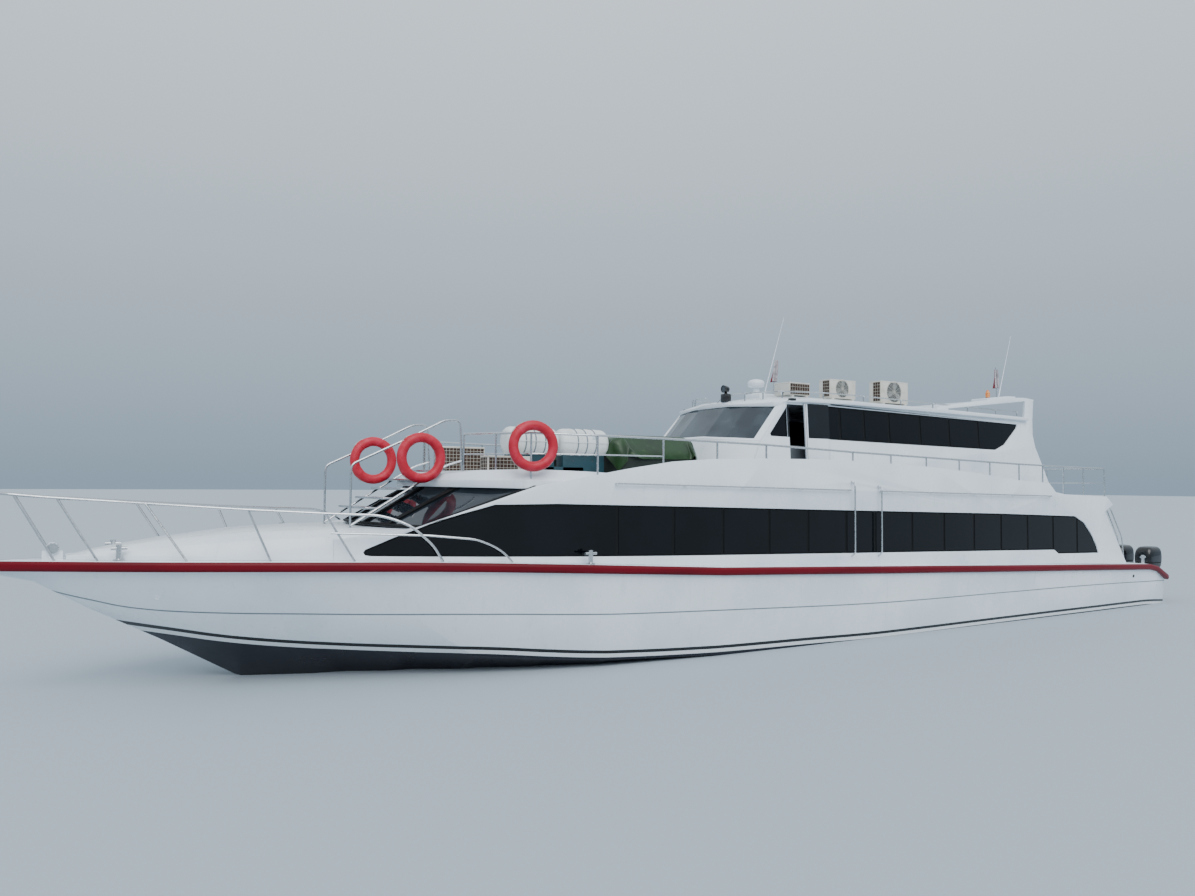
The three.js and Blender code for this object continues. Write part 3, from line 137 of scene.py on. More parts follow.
def layer(material, mask, colour):
    tree = material.node_tree
    base = tree.nodes["Principled BSDF"].inputs["Base Color"]
    under = base.links[0].from_socket if base.is_linked else tuple(base.default_value)
    mix = node(tree, "Mix", {0: mask, MIX_A: under, MIX_B: linear(colour)}, data_type="RGBA")
    tree.links.new(mix.outputs[MIX_RESULT], base)


def patina(material, colour, size, low, high, amount=1.0, stretch=(1, 1, 1)):
    tree = material.node_tree
    fac = clouds(tree, size, PATCH_DETAIL, stretch)
    sockets = {"Value": fac, "From Min": low, "From Max": high, "To Max": amount}
    layer(material, node(tree, "MapRange", sockets).outputs["Result"], colour)
    return material


def grain(material, size, depth, kind="TexNoise"):
    tree = material.node_tree
    texture = node(tree, kind, {"Vector": place_of(tree), "Scale": 1 / size})
    normal = tree.nodes["Principled BSDF"].inputs["Normal"]
    sockets = {"Height": texture.outputs[0], "Distance": depth, "Strength": 1.0}
    if normal.is_linked:
        sockets["Normal"] = normal.links[0].from_socket
    tree.links.new(node(tree, "Bump", sockets).outputs["Normal"], normal)
    return material


def uneven_gloss(material, size, low, high):
    tree = material.node_tree
    fac = clouds(tree, size, GLOSS_DETAIL)
    sockets = {"Value": fac, "From Min": CLOUD_LOW, "From Max": CLOUD_HIGH, "To Min": low, "To Max": high}
    rough = node(tree, "MapRange", sockets).outputs["Result"]
    tree.links.new(rough, tree.nodes["Principled BSDF"].inputs["Roughness"])
    return material


# %% [markdown]
# ## White gel-coat
# The whole boat is laid up in glass fibre behind a polyester gel-coat, sprayed into a polished mould. It is
# a cool white with a soft gloss. Months of spray leave greyish patches a metre or so across and faint
# upright runs below every edge, and the mould's polish leaves an orange peel of about 20 mm, drawn shallow.

# %% Gel-coat
GELCOAT_WHITE, GELCOAT_SHADE, RUN_GREY = "#EDF3F8", "#DBE4EC", "#BCC6CB"


def gelcoat(name, colour=GELCOAT_WHITE):
    material = new_finish(name, colour, 0.3, {"IOR": 1.5, "Coat Weight": 0.25, "Coat Roughness": 0.12})
    patina(material, GELCOAT_SHADE, 1.4, 0.42, 0.66, 0.8)
    patina(material, RUN_GREY, 0.09, 0.6, 0.78, 0.28, stretch=(1, 1, 0.06))
    uneven_gloss(material, 0.5, 0.22, 0.4)
    return grain(material, 0.02, 0.0003)


gelcoat_white = gelcoat("moulded_gelcoat_white")
non_slip = gelcoat("non_slip_gelcoat", "#DFE4E6")
grain(non_slip, 0.006, 0.0012, "TexVoronoi")
sole_paint = new_finish("sole_deck_paint", "#8C99A1", 0.6)
patina(sole_paint, "#6F7B82", 0.4, 0.45, 0.7, 0.7)
grain(sole_paint, 0.005, 0.001, "TexVoronoi")

# %% [markdown]
# ## The hull's paint
# Below the topsides come a thin black line, a white band and the dark blue bottom paint. The line isn't
# level: it sweeps up towards the bow. A Float Curve node holds its height along the boat, so the mesh needs
# no extra edges. The same trick draws the shadow under the knuckle, the crease that runs along the side.

# %% Hull finish
HULL_HALF = 12.0
# Columns: x, height of the black line's top
BOOT_LINE = [
    (-12, 0.087), (-11, 0.134), (-9, 0.136), (-6, 0.130), (-2, 0.115), (0, 0.145), (2, 0.179), (4, 0.258),
    (6, 0.428), (7, 0.483), (8, 0.548), (9, 0.648), (10, 0.821), (10.6, 0.931), (12, 1.2),
]
# Columns: x, height of the knuckle
KNUCKLE_LINE = [
    (-12, 0.546), (-9, 0.609), (-6, 0.627), (-2, 0.646), (2, 0.764), (4, 0.828), (6, 0.922), (8, 0.981),
    (10, 1.070), (10.9, 1.240), (12, 1.6),
]
CURVE_TOP = 2.0
LINE_THICK, BAND_DEEP, KNUCKLE_HALF = 0.052, 0.112, 0.010
BOTTOM_NAVY, LINE_BLACK, BAND_WHITE, KNUCKLE_GREY = "#04061A", "#060709", "#E8ECEE", "#6F7B82"


def height_over(tree, line):
    """The height of a point over a line that is drawn along the boat."""
    parts = node(tree, "SeparateXYZ", {0: node(tree, "TexCoord").outputs["Object"]})
    share = {"Value": parts.outputs["X"], "From Min": -HULL_HALF, "From Max": HULL_HALF}
    curve = node(tree, "FloatCurve", {"Value": node(tree, "MapRange", share).outputs["Result"]})
    points = curve.mapping.curves[0].points
    while len(points) < len(line):
        points.new(0.5, 0.5)
    for point, (x, z) in zip(points, line):
        point.location = ((x + HULL_HALF) / (2 * HULL_HALF), z / CURVE_TOP)
        point.handle_type = "AUTO_CLAMPED"
    curve.mapping.update()
    scaled = node(tree, "Math", {0: curve.outputs["Value"], 1: CURVE_TOP}, operation="MULTIPLY")
    return node(tree, "Math", {0: parts.outputs["Z"], 1: scaled.outputs[0]}, operation="SUBTRACT").outputs[0]


def below(tree, height, level):
    return node(tree, "Math", {0: height, 1: level}, operation="LESS_THAN").outputs[0]


hull_finish = gelcoat("painted_hull")
hull_tree = hull_finish.node_tree
over_knuckle = height_over(hull_tree, KNUCKLE_LINE)
near_knuckle = node(hull_tree, "Math", {0: over_knuckle, 1: 0.0, 2: KNUCKLE_HALF}, operation="COMPARE")
layer(hull_finish, near_knuckle.outputs[0], KNUCKLE_GREY)
over_boot = height_over(hull_tree, BOOT_LINE)
layer(hull_finish, below(hull_tree, over_boot, 0.0), LINE_BLACK)
layer(hull_finish, below(hull_tree, over_boot, -LINE_THICK), BAND_WHITE)
layer(hull_finish, below(hull_tree, over_boot, -BAND_DEEP), BOTTOM_NAVY)

# %% [markdown]
# ## The other finishes
# Each one starts from what the real thing is. The rubbing strake is red PVC, scuffed where it rubs. The
# side glass is tinted until it looks black, and the panes sit in black rubber. Rails are polished stainless
# tube with a little brown tea staining. The rings have a faded PVC cover, the tarpaulin is a coated weave,
# and the outdoor units are enamelled sheet steel that has begun to rust.

# %% Finishes of trim and glass
red_pvc = new_finish("strake_red_pvc", "#6A0317", 0.36, {"Specular IOR Level": 0.2})
patina(red_pvc, "#42040B", 0.5, 0.5, 0.75, 0.5, stretch=(0.3, 1, 3))
patina(red_pvc, "#9C4A50", 0.03, 0.74, 0.82, 0.4, stretch=(0.12, 1, 1))
grain(red_pvc, 0.01, 0.0003)

tinted_glass = new_finish("tinted_window_glass", "#020408", 0.06, {"IOR": 1.52, "Specular IOR Level": 0.25})
patina(tinted_glass, "#080D14", 0.9, 0.45, 0.7, 0.6)
screen_glass = new_finish("windscreen_glass", "#1D242B", 0.05, {"IOR": 1.52, "Transmission Weight": 0.25})
patina(screen_glass, "#39434C", 0.6, 0.42, 0.65, 0.7)
shield_glass = new_finish(
    "wheelhouse_screen_glass", "#39424A", 0.05, {"IOR": 1.52, "Transmission Weight": 0.35}
)
patina(shield_glass, "#5C6872", 0.7, 0.4, 0.65, 0.8)
black_rubber = new_finish("window_seal_rubber", "#050607", 0.6, {"Specular IOR Level": 0.25})
grain(black_rubber, 0.008, 0.0004)

stainless = new_finish("polished_stainless_tube", "#C6C9CB", 0.2, {"Metallic": 1.0})
patina(stainless, "#9A7F66", 0.05, 0.62, 0.8, 0.45)
uneven_gloss(stainless, 0.06, 0.14, 0.34)
cast_alloy = new_finish("painted_alloy_casting", "#2B2F36", 0.45, {"Metallic": 0.3})
patina(cast_alloy, "#8E938F", 0.04, 0.66, 0.78, 0.5)
grain(cast_alloy, 0.004, 0.0004)
cowl_black = new_finish("cowl_black_enamel", "#050608", 0.22, {"Coat Weight": 0.2})
patina(cowl_black, "#1B1E22", 0.3, 0.55, 0.75, 0.35)
helm_plastic = new_finish("moulded_helm_plastic", "#16181B", 0.55)
grain(helm_plastic, 0.003, 0.0004, "TexVoronoi")
patina(helm_plastic, "#2A2D31", 0.2, 0.45, 0.7, 0.6)

# %% Finishes of deck gear
ring_red = new_finish("faded_ring_cover_pvc", "#B80F2A", 0.5)
patina(ring_red, "#D03850", 0.12, 0.45, 0.7, 0.6)
patina(ring_red, "#8F232C", 0.05, 0.62, 0.78, 0.5)
grain(ring_red, 0.012, 0.0012)
rope_grey = new_finish("twisted_polypropylene_rope", "#C9C6BC", 0.8)
grain(rope_grey, 0.008, 0.002, "TexVoronoi")
patina(rope_grey, "#8C877B", 0.05, 0.45, 0.65, 0.7)
raft_grp = new_finish("raft_container_gelcoat", "#E3E6E4", 0.35)
patina(raft_grp, "#C2C4BC", 0.25, 0.5, 0.72, 0.6)
grain(raft_grp, 0.015, 0.0004)
webbing = new_finish("woven_polyester_strap", "#77828A", 0.8)
grain(webbing, 0.004, 0.0006, "TexVoronoi")
teal_paint = new_finish("teal_cradle_paint", "#123C46", 0.5)
patina(teal_paint, "#0B2A31", 0.15, 0.5, 0.7, 0.7)
patina(teal_paint, "#7A4A2A", 0.05, 0.68, 0.78, 0.7)
unit_enamel = new_finish("beige_sheet_steel_enamel", "#D9D5CA", 0.4)
patina(unit_enamel, "#BDB7A8", 0.2, 0.5, 0.72, 0.7)
patina(unit_enamel, "#8A5B38", 0.035, 0.7, 0.8, 0.8, stretch=(1, 1, 0.35))
coil_fins = new_finish("corroded_coil_fins", "#4A362C", 0.75, {"Metallic": 0.2})
patina(coil_fins, "#231A16", 0.05, 0.45, 0.65, 0.8)
patina(coil_fins, "#7C5342", 0.03, 0.62, 0.78, 0.6)
fan_grey = new_finish("fan_shroud_plastic", "#8B8F8E", 0.6)
patina(fan_grey, "#A2A5A2", 0.08, 0.45, 0.7, 0.6)
orange_lens = new_finish("orange_acrylic_lens", "#E0791C", 0.12, {"Coat Weight": 0.5})
patina(orange_lens, "#F2A04A", 0.05, 0.45, 0.65, 0.6)
red_lens = new_finish("red_acrylic_lens", "#B01A1A", 0.15, {"Coat Weight": 0.5})
patina(red_lens, "#D8483E", 0.05, 0.45, 0.65, 0.5)
lamp_glass = new_finish("lamp_front_glass", "#3C444A", 0.06, {"Coat Weight": 0.8})
patina(lamp_glass, "#20262B", 0.03, 0.5, 0.7, 0.7)
seat_vinyl = new_finish("seat_vinyl_blue", "#2C4068", 0.45)
patina(seat_vinyl, "#1F2E4E", 0.3, 0.45, 0.7, 0.7)
grain(seat_vinyl, 0.004, 0.0006, "TexVoronoi")
print(len(bpy.data.materials), "finishes so far")

# %% [markdown]
# ## Softened mouldings
# A CAD solid has knife edges, but a moulding leaves its mould with small round ones, which catch the light.
# A copy of each solid is welded, its flat faces are joined again, and its sharp edges get a bevel of a few
# millimetres. Gentle folds, such as those between the hull's sections, are shaded smooth instead. Where a
# bevel wouldn't close, on a very thin sliver, the copy keeps its plain edges.

# %% Small tools for meshes
WELD = 0.0004
FLAT, SHARP = math.radians(0.3), math.radians(26)
SIDES = (("port", 1), ("starboard", -1))
SOLE_TOP = 0.8  # decks lower than this are painted grey


def is_closed(bm):
    return all(edge.is_manifold for edge in bm.edges)


def fresh(bm, known):
    """The vertices that a mesh has gained since a set of them was noted."""
    return [v for v in bm.verts if v not in known]


def faces_of(verts):
    return list({f for v in verts for f in v.link_faces})


def edges_of(verts):
    return list({e for v in verts for e in v.link_edges})


def face_out(bm, verts):
    bmesh.ops.recalc_face_normals(bm, faces=faces_of(verts))


def round_edges(bm, edges, radius, segments=2, clamp=True):
    bmesh.ops.bevel(
        bm, geom=edges, offset=radius, segments=segments, profile=0.5, affect="EDGES", clamp_overlap=clamp,
        material=-1,
    )


def pulled(bm, faces, by):
    """Give flat faces a thickness by a vector, and return the new vertices."""
    grown = bmesh.ops.extrude_face_region(bm, geom=faces)["geom"]
    made = [g for g in grown if isinstance(g, bmesh.types.BMVert)]
    bmesh.ops.translate(bm, vec=by, verts=made)
    return made


def piece_from(bm, name, materials, body="boat", smooth=True):
    if smooth:
        for edge in bm.edges:
            edge.smooth = len(edge.link_faces) == 2 and edge.calc_face_angle(0) < SHARP
        for face in bm.faces:
            face.smooth = True
    mesh = bpy.data.meshes.new(name)
    bm.to_mesh(mesh)
    bm.free()
    piece = bpy.data.objects.new(name, mesh)
    bpy.context.scene.collection.objects.link(piece)
    for material in materials:
        mesh.materials.append(material)
    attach(piece, body)
    return piece


def smooth_all(piece):
    piece.data.polygons.foreach_set("use_smooth", [True] * len(piece.data.polygons))


# %% A moulding from a CAD solid
def welded(solid):
    bm = bmesh.new()
    bm.from_mesh(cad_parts[solid].data)
    bmesh.ops.remove_doubles(bm, verts=bm.verts, dist=WELD)
    bmesh.ops.dissolve_degenerate(bm, dist=WELD, edges=bm.edges)
    bmesh.ops.dissolve_limit(
        bm, angle_limit=FLAT, use_dissolve_boundaries=False, verts=bm.verts, edges=bm.edges
    )
    return bm


def moulding(solid, material, round_off, body="boat", paint=None):
    bm = welded(solid)
    sharp = [e for e in bm.edges if len(e.link_faces) == 2 and e.calc_face_angle(0) > SHARP]
    round_edges(bm, sharp, round_off, clamp=False)
    if not is_closed(bm):
        bm.free()
        bm = welded(solid)
    materials = [material]
    if paint:
        materials.append(paint[0])
        for face in bm.faces:
            if paint[1](face):
                face.material_index = 1
    piece = piece_from(bm, solid + "_moulding", materials, body)
    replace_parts(piece, solid)
    return piece


def facing_up(face, least=0.9):
    return face.normal.z > least


# %% Hull, cabins and roofs
sole = (sole_paint, lambda f: facing_up(f) and f.calc_center_median().z < SOLE_TOP)
moulding("hull", hull_finish, 0.008, paint=sole)
moulding("rub_rail", red_pvc, 0.01)
for side, _ in SIDES:
    moulding("cabin_side_" + side, gelcoat_white, 0.006)
    moulding("wheelhouse_side_" + side, gelcoat_white, 0.006)
for solid in ("foredeck_trunk", "main_roof", "upper_roof"):
    moulding(solid, gelcoat_white, 0.01, paint=(non_slip, lambda f: facing_up(f, 0.97)))
for solid in ("aft_bulkhead", "upper_bulkhead", "wheelhouse_front", "roof_wing"):
    moulding(solid, gelcoat_white, 0.005)
moulding("windscreen_frame", black_rubber, 0.004)
for solid in ("aft_door", "upper_door", "wheelhouse_door_port", "wheelhouse_door_starboard"):
    moulding(solid, gelcoat_white, 0.004, body=solid)
moulding("outboard_brackets", cast_alloy, 0.003)
for number in range(1, 5):
    moulding(f"swivel_{number}", cast_alloy, 0.003, body=f"swivel_{number}")

# %% Glass and seals stay as the solids they are
for solid, material in {
    "cabin_glass_port": black_rubber,
    "cabin_glass_starboard": black_rubber,
    "wheelhouse_glass_port": black_rubber,
    "wheelhouse_glass_starboard": black_rubber,
    "quarter_glass_port": tinted_glass,
    "quarter_glass_starboard": tinted_glass,
    "windscreen_glass": screen_glass,
    "wheelhouse_windshield": shield_glass,
}.items():
    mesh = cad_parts[solid].data
    mesh.materials.clear()
    mesh.materials.append(material)

# %% [markdown]
# ## Window panes
# The long window is one band of black with a row of panes stuck on it, each with round corners and a narrow
# black gap to the next. The band's outline is drawn once as a flat face, bisected at each gap, and every
# part is inset and its corners are rounded. Then the panes are pushed onto the wall, which curves in
# towards the bow, and given the glass's thickness.

# %% Window outlines and walls
# Columns: x, outer half-breadth of the saloon's wall
WALL_LINE = [
    (-10.7, 2.22), (-9.0, 2.24), (2.0, 2.25), (3.0, 2.23), (4.0, 2.18), (5.0, 2.08), (6.0, 1.93),
    (7.0, 1.72), (8.0, 1.45),
]
# Columns: x, z of the outline
SIDE_WINDOW = [
    (7.530, 1.777), (7.600, 1.792), (7.625, 1.830), (7.600, 1.868), (7.230, 2.030), (6.600, 2.270),
    (5.820, 2.490), (4.850, 2.500), (2.250, 2.440), (-1.200, 2.350), (-5.650, 2.240), (-8.370, 2.150),
    (-8.730, 2.000), (-9.000, 1.750), (-9.200, 1.500), (-9.300, 1.300), (-7.720, 1.335), (-7.560, 1.425),
    (-5.600, 1.470), (-1.170, 1.570), (2.300, 1.650), (4.810, 1.710),
]
SIDE_GAPS = [3.84, 2.79, 1.79, 0.77, -0.15, -1.11, -1.88, -2.91, -3.86, -4.80, -5.69, -6.61, -7.54, -8.46]
# Columns: x, z of the outline
HOUSE_WINDOW = [
    (-0.880, 3.680), (-0.880, 4.320), (-6.700, 4.210), (-7.210, 4.200), (-7.170, 4.110), (-6.700, 3.730),
    (-6.370, 3.605),
]
HOUSE_GAPS = [-1.61, -2.27, -2.985, -3.92, -4.84, -5.81]
HOUSE_HALF, HOUSE_LEAN, HOUSE_FOOT = 1.70, math.tan(math.radians(3.6)), 2.86
PANE_STRAIGHT = math.radians(2)
PANE = {"gap_half": 0.028, "corner": 0.03, "thick": 0.006, "behind": 0.019}


def follow(line):
    """A function that gives the second column of a table at any value of its first."""
    xs, values = zip(*line)
    return lambda x: float(np.interp(x, xs, values))


wall_y = follow(WALL_LINE)


def house_y(z):
    return HOUSE_HALF - HOUSE_LEAN * (z - HOUSE_FOOT)


# %% Cut and place a row of panes
def bisect(bm, place, direction):
    geometry = bm.verts[:] + bm.edges[:] + bm.faces[:]
    bmesh.ops.bisect_plane(bm, geom=geometry, plane_co=place, plane_no=direction)


def add_panes(name, outline, gaps, surface, knots=()):
    bm = bmesh.new()
    bm.faces.new([bm.verts.new((x, 0, z)) for x, z in outline])
    for x in gaps:
        bisect(bm, (x, 0, 0), (1, 0, 0))
    rims = bmesh.ops.inset_individual(
        bm, faces=bm.faces[:], thickness=PANE["gap_half"], use_even_offset=True
    )
    bmesh.ops.delete(bm, geom=rims["faces"], context="FACES")
    bmesh.ops.dissolve_limit(bm, angle_limit=PANE_STRAIGHT, verts=bm.verts, edges=bm.edges)
    bmesh.ops.bevel(
        bm, geom=bm.verts[:], offset=PANE["corner"], segments=4, profile=0.5, affect="VERTICES",
        clamp_overlap=True, material=-1,
    )
    for x in knots:
        bisect(bm, (x, 0, 0), (1, 0, 0))
    panes = len(bm.faces)
    for vert in bm.verts:
        vert.co.y = surface(vert.co.x, vert.co.z) - PANE["behind"]
    pulled(bm, bm.faces[:], (0, -PANE["thick"], 0))
    bmesh.ops.recalc_face_normals(bm, faces=bm.faces)
    for side, sign in SIDES:
        half = bm.copy()
        if sign < 0:
            bmesh.ops.scale(half, vec=(1, -1, 1), verts=half.verts)
            bmesh.ops.reverse_faces(half, faces=half.faces)
        piece_from(half, f"{name}_{side}", [tinted_glass])
    bm.free()
    return panes


# %% Panes of both decks
wall_knots = [x for x, _ in WALL_LINE if -9 < x < 7.6]  # the wall bends here, so the panes do too
print("side panes", add_panes("side_panes", SIDE_WINDOW, SIDE_GAPS, lambda x, z: wall_y(x), wall_knots))
print("upper panes", add_panes("upper_panes", HOUSE_WINDOW, HOUSE_GAPS, lambda x, z: house_y(z)))

# %% [markdown]
# ## Rails
# Every rail is bent from stainless tube: 38 mm for the ones a hand rests on, 24 to 34 mm for posts and
# stairs. The solids have six-sided tubes, which is right for collision but not for the eye. Each run is
# drawn again through the same points as a curve with a round section, its corners are bent on a radius, and
# the curve becomes a mesh. Welded seams are the places where tubes run into each other.

# %% Tubes through points
RAIL, POST, THIN = 0.019, 0.016, 0.012
BEND_STEPS = 5
POST_LIFT, POST_SINK = 0.001, 0.01  # where a post's foot is, over the deck or inside the wall


def bent(points, radius):
    path = [Vector(p) for p in points]
    out = [path[0]]
    for before, corner, after in zip(path, path[1:], path[2:]):
        reach = min(radius, (before - corner).length * 0.45, (after - corner).length * 0.45)
        start = corner + (before - corner).normalized() * reach
        end = corner + (after - corner).normalized() * reach
        for step in range(BEND_STEPS + 1):
            t = step / BEND_STEPS
            out.append(start * (1 - t) ** 2 + corner * 2 * t * (1 - t) + end * t * t)
    return [*out, path[-1]]


def tube_mesh(name, runs, resolution=3):
    """One mesh of round tubes. Each run is a radius, a bending radius and its points."""
    bm = bmesh.new()
    for radius, bend, points in runs:
        curve = bpy.data.curves.new(name, "CURVE")
        curve.dimensions = "3D"
        curve.bevel_depth = radius
        curve.bevel_resolution = resolution
        curve.use_fill_caps = True
        path = bent(points, bend) if len(points) > 2 else [Vector(p) for p in points]
        spline = curve.splines.new("POLY")
        spline.points.add(len(path) - 1)
        for point, place in zip(spline.points, path):
            point.co = (*place, 1)
        holder = bpy.data.objects.new(name, curve)
        mesh = bpy.data.meshes.new_from_object(holder)
        bm.from_mesh(mesh)
        bpy.data.objects.remove(holder)
        bpy.data.meshes.remove(mesh)
        bpy.data.curves.remove(curve)
    bmesh.ops.remove_doubles(bm, verts=bm.verts, dist=1e-5)
    bmesh.ops.recalc_face_normals(bm, faces=bm.faces)
    return bm


def tubes(name, runs, solids=()):
    piece = piece_from(tube_mesh(name, runs), name, [stainless], "boat")
    if solids:
        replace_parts(piece, *solids)


def flipped(points):
    return [(x, -y, z) for x, y, z in points]


def on_both_sides(runs):
    return runs + [(radius, bend, flipped(points)) for radius, bend, points in runs]


# %% Bow rail
# Columns: x, height of the deck's edge
DECK_EDGE = [
    (-12, 0.700), (-11.5, 0.920), (-11.1, 0.985), (-9, 1.071), (-6, 1.173), (-2, 1.310), (2, 1.467),
    (4, 1.576), (5, 1.626), (6, 1.670), (7, 1.703), (8, 1.723), (9, 1.737), (10, 1.747), (10.9, 1.757),
    (12, 1.768),
]
# Columns: x, y, z
BOW_TOP = [
    (12.02, 0, 2.64), (11.88, 0.19, 2.63), (11.42, 0.33, 2.585), (10.56, 0.61, 2.525), (9.91, 0.90, 2.48),
    (9.08, 1.22, 2.425), (8.15, 1.53, 2.375), (7.48, 1.72, 2.35), (7.26, 1.78, 2.29), (7.03, 1.84, 2.19),
    (6.73, 1.91, 1.92), (6.60, 1.93, 1.692),
]
BOW_MID = [
    (8.08, 1.56, 2.11), (6.81, 1.89, 2.065), (6.13, 2.01, 2.00), (5.90, 2.05, 1.91), (5.72, 2.08, 1.80),
    (5.60, 2.11, 1.655),
]
# Columns: foot x, foot y, head x, head y, head z
BOW_POSTS = [
    (11.28, 0.30, 11.75, 0.23, 2.615), (10.80, 0.50, 11.27, 0.38, 2.57), (9.79, 0.96, 10.28, 0.74, 2.505),
    (8.80, 1.29, 9.09, 1.215, 2.425), (7.77, 1.65, 8.15, 1.53, 2.375),
]
deck_z = follow(DECK_EDGE)

bow_posts = [(POST, 0, [(fx, fy, deck_z(fx) + POST_LIFT), (hx, hy, hz)]) for fx, fy, hx, hy, hz in BOW_POSTS]
bow_line = flipped(BOW_TOP[:0:-1]) + BOW_TOP
bow_runs = [(RAIL, 0.12, bow_line)] + on_both_sides([(POST, 0.1, BOW_MID)] + bow_posts)
tubes("bow_rail_tubes", bow_runs, ["bow_rail"])

# %% Lines of the upper deck's rails
# Columns: x, height of the upper rail
RAIL_TOP = [
    (-9.78, 3.235), (-7.2, 3.27), (-6.35, 3.285), (-1.3, 3.42), (0.82, 3.495), (2.99, 3.535), (6.4, 3.57)
]
# Columns: x, height of the wall that carries the posts
WALL_TOP = [
    (-10.0, 2.40), (-9.67, 2.59), (-8.0, 2.64), (-7.65, 2.69), (-7.4, 2.89), (-6.43, 2.93), (-4.9, 3.08),
    (-3.5, 3.18), (-1.5, 3.26), (-0.36, 3.27), (0.85, 3.26), (1.97, 3.23), (2.8, 3.17), (3.6, 3.05),
    (4.66, 2.86),
]
SIDE_POSTS = [4.18, 2.99, 1.90, 0.82, -1.30, -2.33, -3.35, -4.36, -5.35, -6.35, -7.20]
# Columns: x, y, height of the foot
FORE_POSTS = [(5.85, 0.86, 2.90), (5.59, 1.48, 2.86), (5.23, 1.94, 2.80)]
FORE_MID_Z, AFT_MID_Z, AFT_FOOT_Z, JOINT_X = 3.25, 2.90, 2.585, -7.23
WALL_HALF, AFT_POST_Y, JOINT_GAP = 0.03, 0.7, 0.004
# Columns: x, y
STERN_POSTS = [(-8.10, 2.14), (-8.90, 2.13), (-9.78, 2.12)]
rail_z, wall_top = follow(RAIL_TOP), follow(WALL_TOP)


def on_wall(x, z):
    return (x, wall_y(x) - WALL_HALF, z)


# %% Rails of the upper deck
fore_line = [(x, y, rail_z(x)) for x, y, _ in FORE_POSTS]
side_line = fore_line + [on_wall(x, rail_z(x)) for x in SIDE_POSTS] + [on_wall(JOINT_X, rail_z(JOINT_X))]
mid_line = [(x, y, FORE_MID_Z) for x, y, _ in FORE_POSTS] + [on_wall(x, FORE_MID_Z) for x in SIDE_POSTS[:2]]
side_runs = [(RAIL, 0.08, side_line), (THIN, 0.08, mid_line)]
side_runs += [(POST, 0, [(x, y, z), (x, y, rail_z(x))]) for x, y, z in FORE_POSTS]
side_runs += [(POST, 0, [on_wall(x, wall_top(x) - POST_SINK), on_wall(x, rail_z(x))]) for x in SIDE_POSTS]
for side, sign in SIDES:
    runs = [(r, b, [(x, sign * y, z) for x, y, z in points]) for r, b, points in side_runs]
    tubes("deck_rail_tubes_" + side, runs, ["deck_rail_" + side])

stern_line = [on_wall(JOINT_X - JOINT_GAP, rail_z(JOINT_X))] + [(x, y, rail_z(x)) for x, y in STERN_POSTS]
stern_mid = [(x, y, AFT_MID_Z) for x, y in STERN_POSTS]
aft_x = STERN_POSTS[-1][0]
stern_runs = [
    (RAIL, 0.08, stern_line + flipped(stern_line)[::-1]),
    (THIN, 0, stern_mid + flipped(stern_mid)[::-1]),
]
upright_places = [*STERN_POSTS, (aft_x, AFT_POST_Y)]
stern_runs += on_both_sides([(POST, 0, [(x, y, AFT_FOOT_Z), (x, y, rail_z(x))]) for x, y in upright_places])
tubes("stern_rail_tubes", stern_runs, ["stern_rail"])

# %% Stair over the windscreen
STAIR_Y, STAIR_HALF, STAIR_TUBE = 0.12, 0.70, 0.017
STAIR_FOOT, STAIR_HEAD, TREADS = Vector((7.45, 0, 2.19)), Vector((6.12, 0, 2.905)), 5
# Columns: x, z
STAIR_RAIL = [(7.60, 2.12), (7.60, 3.06), (6.78, 3.45), (6.15, 3.77), (5.90, 3.78), (5.86, 3.0)]
STRINGER = [(7.60, 2.17), (6.12, 3.075), (5.86, 3.15)]
TREAD = {"half": 0.09, "thick": 0.03, "above": 0.16, "share": 0.6}

stair_runs = []
for y in (STAIR_Y - STAIR_HALF, STAIR_Y + STAIR_HALF):
    stair_runs += [(STAIR_TUBE, 0.09, [(x, y, z) for x, z in line]) for line in (STAIR_RAIL, STRINGER)]
stair = tube_mesh("stair", stair_runs)
for step in range(TREADS):
    middle = STAIR_FOOT.lerp(STAIR_HEAD, (step + TREAD["share"]) / TREADS)
    place = Vector((middle.x, STAIR_Y, middle.z + TREAD["above"] - TREAD["thick"] / 2))
    board = bmesh.ops.create_cube(stair, size=1)["verts"]
    bmesh.ops.scale(stair, vec=(2 * TREAD["half"], 2 * STAIR_HALF, TREAD["thick"]), verts=board)
    bmesh.ops.translate(stair, vec=place, verts=board)
    round_edges(stair, edges_of(board), 0.006)
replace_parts(piece_from(stair, "boarding_stair_tubes", [stainless]), "boarding_stair")

# %% [markdown]
# ## Turned shapes
# Many fittings are bodies of revolution: rings, capsules, lamps and hubs. A profile of a few points is spun
# about an axis, closed where it starts, and its normals are made to face out.

# %% Spin a profile
AXES = {"X": (1, 0, 0), "-X": (-1, 0, 0), "Y": (0, 1, 0), "Z": (0, 0, 1)}


def spin(bm, geometry, angle, steps):
    full = angle == 2 * math.pi
    bmesh.ops.spin(
        bm, geom=geometry, cent=(0, 0, 0), axis=(0, 0, 1), angle=angle, steps=steps, use_merge=full
    )


def spun(bm, profile, place, axis="Z", steps=32):
    """Spin (radius, height) points about an axis through a place, and return the new vertices."""
    direction = Vector(AXES[axis] if isinstance(axis, str) else axis)
    turn = Vector((0, 0, 1)).rotation_difference(direction).to_matrix().to_4x4()
    known = set(bm.verts)
    line = [bm.verts.new((radius, 0, height)) for radius, height in profile]
    edges = [bm.edges.new(pair) for pair in zip(line, line[1:])]
    spin(bm, line + edges, 2 * math.pi, steps)
    bmesh.ops.remove_doubles(bm, verts=fresh(bm, known), dist=1e-5)
    made = fresh(bm, known)
    face_out(bm, made)
    bmesh.ops.transform(bm, matrix=Matrix.Translation(place) @ turn, verts=made)
    return made


